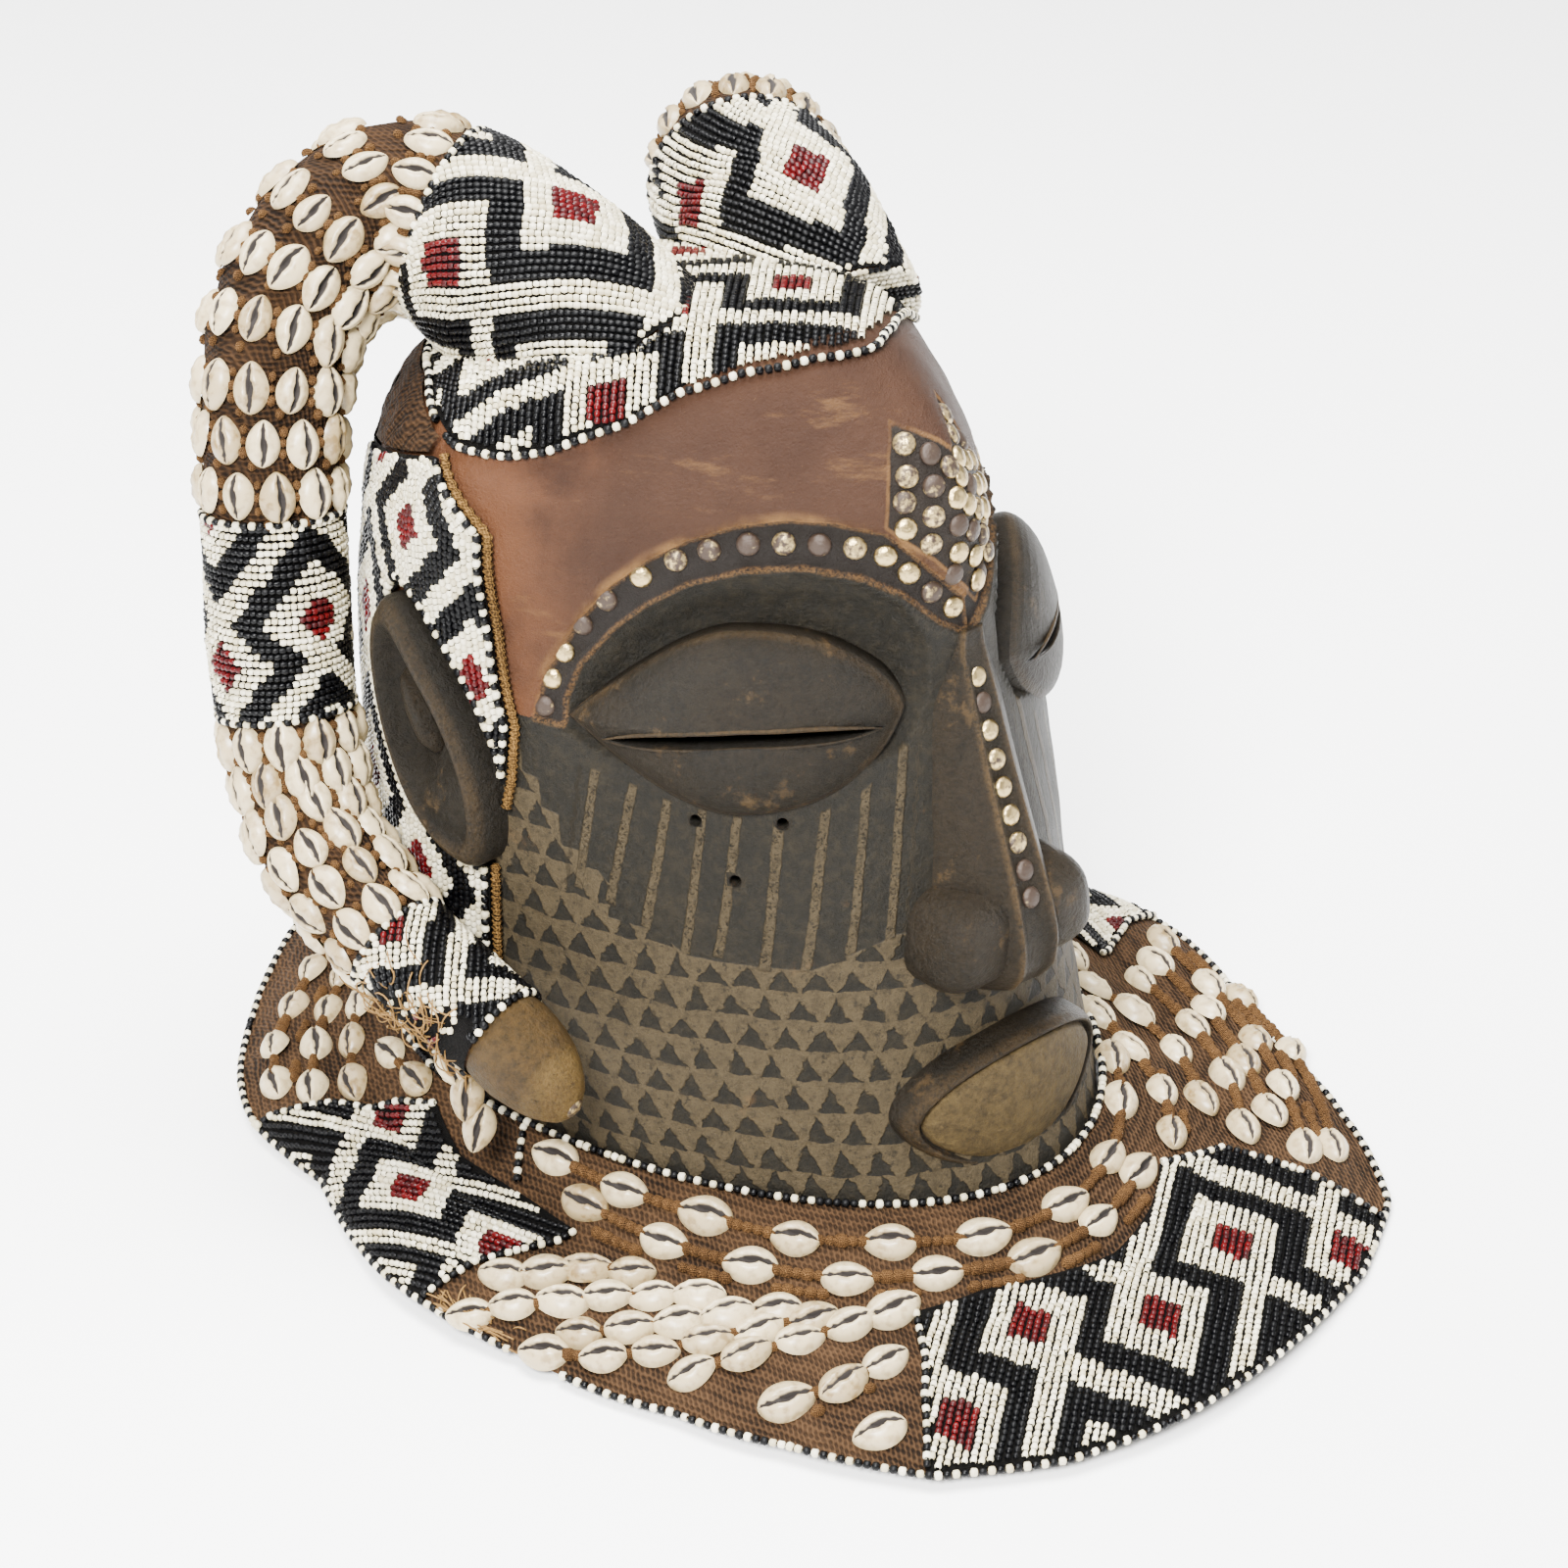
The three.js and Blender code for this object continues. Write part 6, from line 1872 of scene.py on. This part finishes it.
@dataclass
class Collar:
    """The stiff cloth collar with its cowries, beaded panels and edging."""

    head: HeadShape
    palette: Palette
    rim_angle: tuple = (0, 17, 27, 38, 48, 64, 78, 90, 105, 118, 130, 144, 158, 180)
    rim_out: tuple = (291, 293, 285, 256, 236, 224, 214, 206, 200, 214, 220, 228, 232, 236)
    rows: tuple = (
        (22.5, ((-75, 8), (-60.9, 11), (-47.4, 13), (-34.8, 17), (-23.1, 17), (-12.2, 18), (-.5, 16),
                (9.8, 13), (20.9, 9), (30, 6))),
        (22.5, ((-66.3, 20), (-52.7, 26), (-40.8, 30), (-29.3, 33), (-19.2, 31), (-8.2, 31), (1.4, 28),
                (11.5, 25))),
        (21.5, ((-71.2, 62), (-66.5, 54), (-62, 46), (-56, 41))),
        (21.5, ((-72.1, 81), (-68, 72), (-62.8, 64), (-57.8, 56), (-52.6, 51), (-47, 47))),
        (21.5, ((-59.5, 74), (-54, 68), (-48.8, 61), (-43.5, 55), (-38, 48))),
        (21.5, ((-62.5, 84), (-56, 81), (-50.7, 75), (-45.3, 68), (-40, 60), (-34, 51))),
        (22.0, ((-46.6, 82), (-41.3, 73), (-35.8, 63), (-30.2, 53), (-25.4, 46))),
        (22.0, ((-37.6, 92), (-32.4, 85), (-28, 73))),
        (22.0, ((-30.2, 105),)),
        (21.0, ((51.2, 11), (47.1, 25), (40.7, 39), (30.6, 45))),
        (21.0, ((41.4, 5), (34.4, 15), (28.2, 27), (20.7, 32))),
        (21.0, ((60, 44), (48.2, 54), (38.3, 61), (28.5, 64))),
        (21.0, ((64.6, 57), (52.8, 65), (42.1, 70), (32.7, 76))),
        (21.0, ((70.5, 71), (59.5, 74), (48.3, 81), (38.3, 84), (28.9, 90))),
        (21.0, ((59, 88), (48, 96), (30.9, 102))))
    mirrored_rows: tuple = (
        (20.0, ((153, 45), (145.5, 49), (137.9, 51), (129.7, 55), (122.2, 56))),
        (20.0, ((151, 29), (143.5, 31), (135.7, 34), (127.5, 38), (118.7, 43))),
        (20.0, ((150, 14), (141.5, 15), (133, 17), (124.7, 21), (116.6, 26))), (20.0, ((117, 9), (108, 7))))
    last_rows: tuple = ((22.0, ((160, 12), (170, 11), (180, 11), (190, 11), (200, 12))),
                        (22.0, ((61, 12), (71, 11), (81, 9), (91, 8))))

    def __post_init__(self) -> None:
        """Works out the neck's radius for every direction."""
        p = self.head.point(np.linspace(-1, 1, 1441), NECK_Z)
        order = np.argsort(np.arctan2(p[:, 0], -p[:, 1]))
        self.neck_angle = np.arctan2(p[order, 0], -p[order, 1])
        self.neck_out = np.hypot(p[order, 0], p[order, 1])

    def neck(self, angle: np.ndarray) -> np.ndarray:
        """Radius of the head at the neck."""
        return np.interp(angle, self.neck_angle, self.neck_out, period=2 * np.pi)

    def rim(self, angle: np.ndarray) -> np.ndarray:
        """Radius of the collar's outer edge."""
        deg = np.degrees(np.abs((angle + np.pi) % (2 * np.pi) - np.pi))
        return line(self.rim_angle, self.rim_out, deg) + 2.5 * np.cos(9 * angle + 0.6)

    def breadth(self, angle: np.ndarray) -> np.ndarray:
        """Distance from the neck to the rim."""
        return self.rim(angle) - self.neck(angle) - 1.1

    def height(self, angle: np.ndarray, w: np.ndarray) -> np.ndarray:
        """Height of the cloth, by direction and share of the way out."""
        wave = 0.5 + 0.5 * np.cos(7 * angle + 0.4) * np.cos(2 * angle - 0.5)
        slope = line([0, .13, .3, .45, .6, .75, .88, 1], [38.5, 33, 24.5, 17.5, 15.5, 12, 7, 1], w)
        return 0.4 + slope + 5 * wave * w * w

    def spot(self, angle: np.ndarray, w: np.ndarray, lift: np.ndarray) -> tuple[np.ndarray, np.ndarray]:
        """Points of the collar and their upward directions.

        Args:
            angle: Directions from the middle.
            w: Shares of the way from the neck to the rim.
            lift: Height above the cloth.

        Returns:
            Points and directions.
        """
        angle, w = np.broadcast_arrays(np.asarray(angle, float), np.asarray(w, float))

        def place(a: np.ndarray, v: np.ndarray) -> np.ndarray:
            """Plain points without a lift."""
            r = mix(self.neck(a) + 1.1, self.rim(a), v)
            return np.stack([r * np.sin(a), -r * np.cos(a), self.height(a, v)], -1)

        out = place(angle, np.minimum(w + 0.02, 1)) - place(angle, np.maximum(w - 0.02, 0))
        up = unit(np.cross(out, place(angle + 0.02, w) - place(angle - 0.02, w)))
        up = np.where(up[..., 2:] < 0, -up, up)
        return place(angle, w) + up * np.asarray(lift, float)[..., None], up

    def at(self, deg: np.ndarray, mm: np.ndarray, lift: np.ndarray) -> tuple[np.ndarray, np.ndarray]:
        """Points and upward directions, by direction in degrees and millimetres from the neck."""
        angle = np.radians(deg)
        return self.spot(angle, mm / self.breadth(angle), lift)

    def unspot(self, x: np.ndarray, y: np.ndarray) -> tuple[np.ndarray, np.ndarray]:
        """Direction and share of the way out for plan points."""
        angle = np.arctan2(x, -y)
        inner = self.neck(angle) + 1.1
        return angle, (np.hypot(x, y) - inner) / (self.rim(angle) - inner)

    def panel(self, name: str, node: str, plan: PanelPlan) -> None:
        """Makes one beaded panel on the collar.

        Args:
            name: Its name.
            node: The solid it stands for.
            plan: Its outline and pattern.
        """
        work, edging = BeadWork(seed=71 + len(name) + len(node)), Edging(seed=73 + len(node))
        shell, sheet, trim = Shell("tone"), Shell("tone"), Shell("tone")
        axes = np.array(plan.axes, float)
        e1 = unit(axes[plan.strings])
        side = np.array([-e1[1], e1[0]])
        inverse = np.linalg.inv(axes[1:].T)
        t, v = np.meshgrid(np.linspace(0, 1, 60), np.linspace(0, 1, 26))
        mm = 60 * v
        for _ in range(6):
            deg = mix(plan.start(mm), plan.end(mm), t)
            mm = mix(plan.first(deg), self.breadth(np.radians(deg)) - 0.5, v)
        points, _ = self.at(deg, mm, 3.6)
        off, ahead = points[..., :2].reshape(-1, 2) @ side, points[..., :2].reshape(-1, 2) @ e1
        for aside in np.arange(off.min(), off.max(), work.row):
            spots = side * aside + e1 * np.arange(ahead.min() - 4, ahead.max() + 4, 1.5)[:, None]
            angle, w = self.unspot(*spots.T)
            ok = plan.holds(np.degrees(angle), w * self.breadth(angle), -1.2) & (w < 0.985)
            for part in runs_of(ok):
                if len(part) < 4:
                    continue
                path, up = self.spot(angle[part], w[part], 4.6)
                work.string(shell, path, up,
                            lambda at: work.interlace(*(inverse @ (pick(spots[part], at) - axes[0]).T)))
        beads = shell.build(f"{name}_beads", self.palette.beads)
        sheet.add(points, grid_faces(26, 60))
        cloth = sheet.build(f"{name}_cloth", [self.palette.black_cloth])
        borders = [(deg[:, 0], mm[:, 0]), (deg[:, -1], mm[:, -1])] + [(deg[0], mm[0])] * plan.edged
        for border in borders:
            edging.run(trim, *self.at(*border, 4.6))
        rope = trim.build(f"{name}_edging", self.palette.beads)
        dress([cloth, beads, rope], node)
        lay_sheet(cloth, 0.15)

    def cowries(self) -> tuple:
        """Sews cowries and knots on the cloth.

        Returns:
            The cowries and the knots.
        """
        work = Cowries(seed=83)
        shells, knots = Shell("slit", "tone"), Shell("tone")
        right = tuple((long, tuple((-deg, out) for deg, out in row)) for long, row in self.mirrored_rows)
        for number, (long, row) in enumerate(self.rows + right + self.mirrored_rows + self.last_rows):
            row = np.array(row, float)
            lift = 2.4 + 1.1 * (np.arange(len(row)) % 2) * (long < 22.5)
            spots, ups = self.at(row[:, 0], row[:, 1], lift)
            for k, (spot, up) in enumerate(zip(spots, ups)):
                here = spots[min(k + 1, len(row) - 1)] - spots[max(k - 1, 0)]
                if len(row) == 1:
                    here = np.cross(up, spot * [1, 1, 0])
                here = unit(here)
                work.sew(shells, spot, here, up, long, long * 0.7, long * 0.3)
                if k + 1 == len(row):
                    continue
                gap = np.linalg.norm(spots[k + 1] - spot)
                count = max(int((gap - long * 0.86) / 4.4) + 1, 1)
                for m in range(count):
                    deg, out = mix(row[k], row[k + 1], 0.5 + (m - (count - 1) / 2) * 4.4 / gap)
                    p, n = self.at(deg, out, 3.2)
                    work.knot(knots, p, here, n, 5.4)
                    if number % 3 == 1:
                        p, n = self.at(deg, out + 7.5, 3.0)
                        work.knot(knots, p, here, n, 5.0)
        return (shells.build("collar_cowries", [self.palette.cowrie]),
                knots.build("collar_knots", [self.palette.knots]))

    def frayed(self) -> bpy.types.Object:
        """Short threads where the edge has come apart."""
        rng = np.random.default_rng(SEED + 11)
        shell = Shell("tone")
        for _ in range(54):
            t = np.linspace(0, 1, 8)
            turn = math.radians(rng.normal(-72.2, 1.8)) + rng.normal(0, 0.05) * t
            out = 1 - rng.uniform(0, 0.09) + rng.normal(0.01, 0.04) * t
            lift = 2.8 + 3.5 * rng.random() * np.sin(np.pi * t * 0.8)
            path, up = self.spot(turn, np.minimum(out, 1.0), lift)
            shell.loft(tube(path, up, 0.35), tone=rng.random())
        return shell.build("collar_frayed_edge", [self.palette.thread])

    def make(self) -> None:
        """Builds the cloth, its cowries, edging and panels."""
        w, a = np.meshgrid(np.linspace(0, 1, 44), circle(300), indexing="ij")
        points, up = self.spot(a, w, 2.2)
        points += up * (ripple(points, 91, 30.0) * 0.35)[..., None]
        shell, trim = Shell("tone"), Shell("tone")
        shell.loft(points[::-1], 0, low=False, high=False)
        cloth = shell.build("collar_cloth", [self.palette.collar_cloth])
        shells, knots = self.cowries()
        a = np.linspace(-np.pi, np.pi, 721)
        Edging(seed=97).run(trim, *self.spot(a, 1.0, 2.6), gaps=((0.2905, 0.308), (0.862, 0.868)))
        Edging(seed=99).run(trim, *self.at(np.linspace(-83.9, -77.9, 30), np.linspace(1, 23, 30), 4.0))
        Edging(seed=98).run(trim, *self.spot(a, 0.0, 4.0))
        borders = trim.build("collar_edging", self.palette.beads)
        frayed = self.frayed()
        dress([cloth, shells, knots, frayed], "cloth_collar")
        dress([borders])
        lay_sheet(cloth, 0.86)
        self.panel("front_panel", "front_collar_panel", PanelPlan(
            ((30, -22.5), (47, -23.2), (72, -24.3), (90, -25.7), (125, -27.6)),
            ((31, 14.7), (54, 23.7), (89, 24.7), (125, 24.3)),
            ((-23, 47), (-15, 40), (-8, 40), (0, 42), (8, 37), (14.7, 31)),
            ((-79.4, -224.3), (4.85, -9.13), (10.12, 6.95))))
        self.panel("back_panel", "back_collar_panel", PanelPlan(
            ((0, 157.5), (90, 157.5)), ((0, 202.5), (90, 202.5)), ((150, 26), (210, 26)),
            ((79.4, 190), (-4.85, 9.13), (-10.12, -6.95)), edged=True))
        self.panel("right_side_collar", "right_collar_panel", PanelPlan(
            ((9, -100.9), (15, -107), (39, -114.3), (61, -117.2)), ((31, -65.6), (62, -75.2), (85, -78.5)),
            ((-100.9, 9), (-89.9, 21), (-74.7, 26), (-65.6, 31)),
            ((-174.5, 30.4), (3.47, -10.38), (-6.2, -4.2)), 1))
        self.panel("left_side_collar", "left_collar_panel", PanelPlan(
            ((31, 65.6), (62, 75.2), (85, 78.5)), ((9, 100.9), (15, 107), (39, 114.3), (61, 117.2)),
            ((65.6, 31), (74.7, 26), (89.9, 21), (100.9, 9)),
            ((174.5, 30.4), (-3.47, -10.38), (8.2, -5.2)), 1))


@dataclass
class Stage:
    """Floor, lights and camera."""

    edge: float = 3500.0
    floor_z: float = -0.6
    camera: tuple = (-0.8399, -0.9366, 0.8968)
    target: tuple = (-0.0001, 0.0058, 0.1549)
    lens_mm: float = 81.0
    daylight: float = 0.5
    lamps: tuple = (("key", (-1.9, -1.2, 2.2), 0.2, 0.9, 430), ("fill", (1.8, -1.9, 1.2), 0.2, 1.8, 34),
                    ("top", (0.1, 0.2, 2.7), 0.2, 1.6, 340), ("rim", (-0.6, 2.2, 1.6), 0.25, 1.6, 60))

    @staticmethod
    def stand(name: str, data: bpy.types.ID, spot: tuple, target: tuple) -> bpy.types.Object:
        """Puts a lamp or the camera at a spot, level and turned to a target."""
        x, y, z = np.subtract(target, spot)
        made = bpy.data.objects.new(name, data)
        made.location = spot
        made.rotation_euler = math.atan2(math.hypot(x, y), -z), 0.0, math.atan2(y, x) - math.pi / 2
        bpy.context.scene.collection.objects.link(made)
        return made

    def make(self) -> None:
        """Sets the stage."""
        floor, corners = Shell(), ((-1, -1), (1, -1), (1, 1), (-1, 1))
        floor.add([(x * self.edge, y * self.edge, self.floor_z) for x, y in corners],
                  np.array([[0, 1, 2, 3]]))
        floor.build("floor", [Studio().make()])
        for name, spot, aim_z, size, power in self.lamps:
            light = bpy.data.lights.new(name, "AREA")
            light.size, light.energy = size, power
            self.stand(name, light, spot, (0, 0, aim_z))
        world = bpy.data.worlds.new("studio")
        world.use_nodes = True
        background = world.node_tree.nodes["Background"]
        background.inputs[0].default_value = (1.0, 1.0, 1.0, 1.0)
        background.inputs[1].default_value = self.daylight
        bpy.context.scene.world = world
        lens = bpy.data.cameras.new("view")
        lens.lens, lens.sensor_width = self.lens_mm, 36.0
        lens.clip_start, lens.clip_end = 0.05, 20
        bpy.context.scene.camera = self.stand("view", lens, self.camera, self.target)


def main() -> None:
    """Builds every piece in order."""
    logging.basicConfig(level=logging.INFO, format="%(name)s: %(message)s")
    Stage().make()
    palette, head, ear = Palette(), HeadShape(), EarPlan()
    body = Helmet(head, palette, ear).make()
    LOG.info("helmet %d faces", len(body.data.polygons))
    trunks = [Trunk(side, palette, head) for side in SIDES]
    for trunk in trunks:
        trunk.make()
        LOG.info("%s trunk", SIDES[trunk.side])
    Cap(head, palette, trunks).make()
    LOG.info("cap")
    for side in SIDES:
        SidePanel(side, head, palette, ear).make()
        LOG.info("%s side panel", SIDES[side])
    BackCloth(head, palette).make()
    Collar(head, palette).make()
    LOG.info("collar")
    sizes = {o.name: sum(len(p.vertices) - 2 for p in o.data.polygons) for o in bpy.data.objects
             if o.type == "MESH" and not o.get("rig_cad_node")}
    LOG.info("triangles %d, most %s", sum(sizes.values()), sorted(sizes.items(), key=lambda i: -i[1])[:6])


if __name__ == "__main__":
    main()
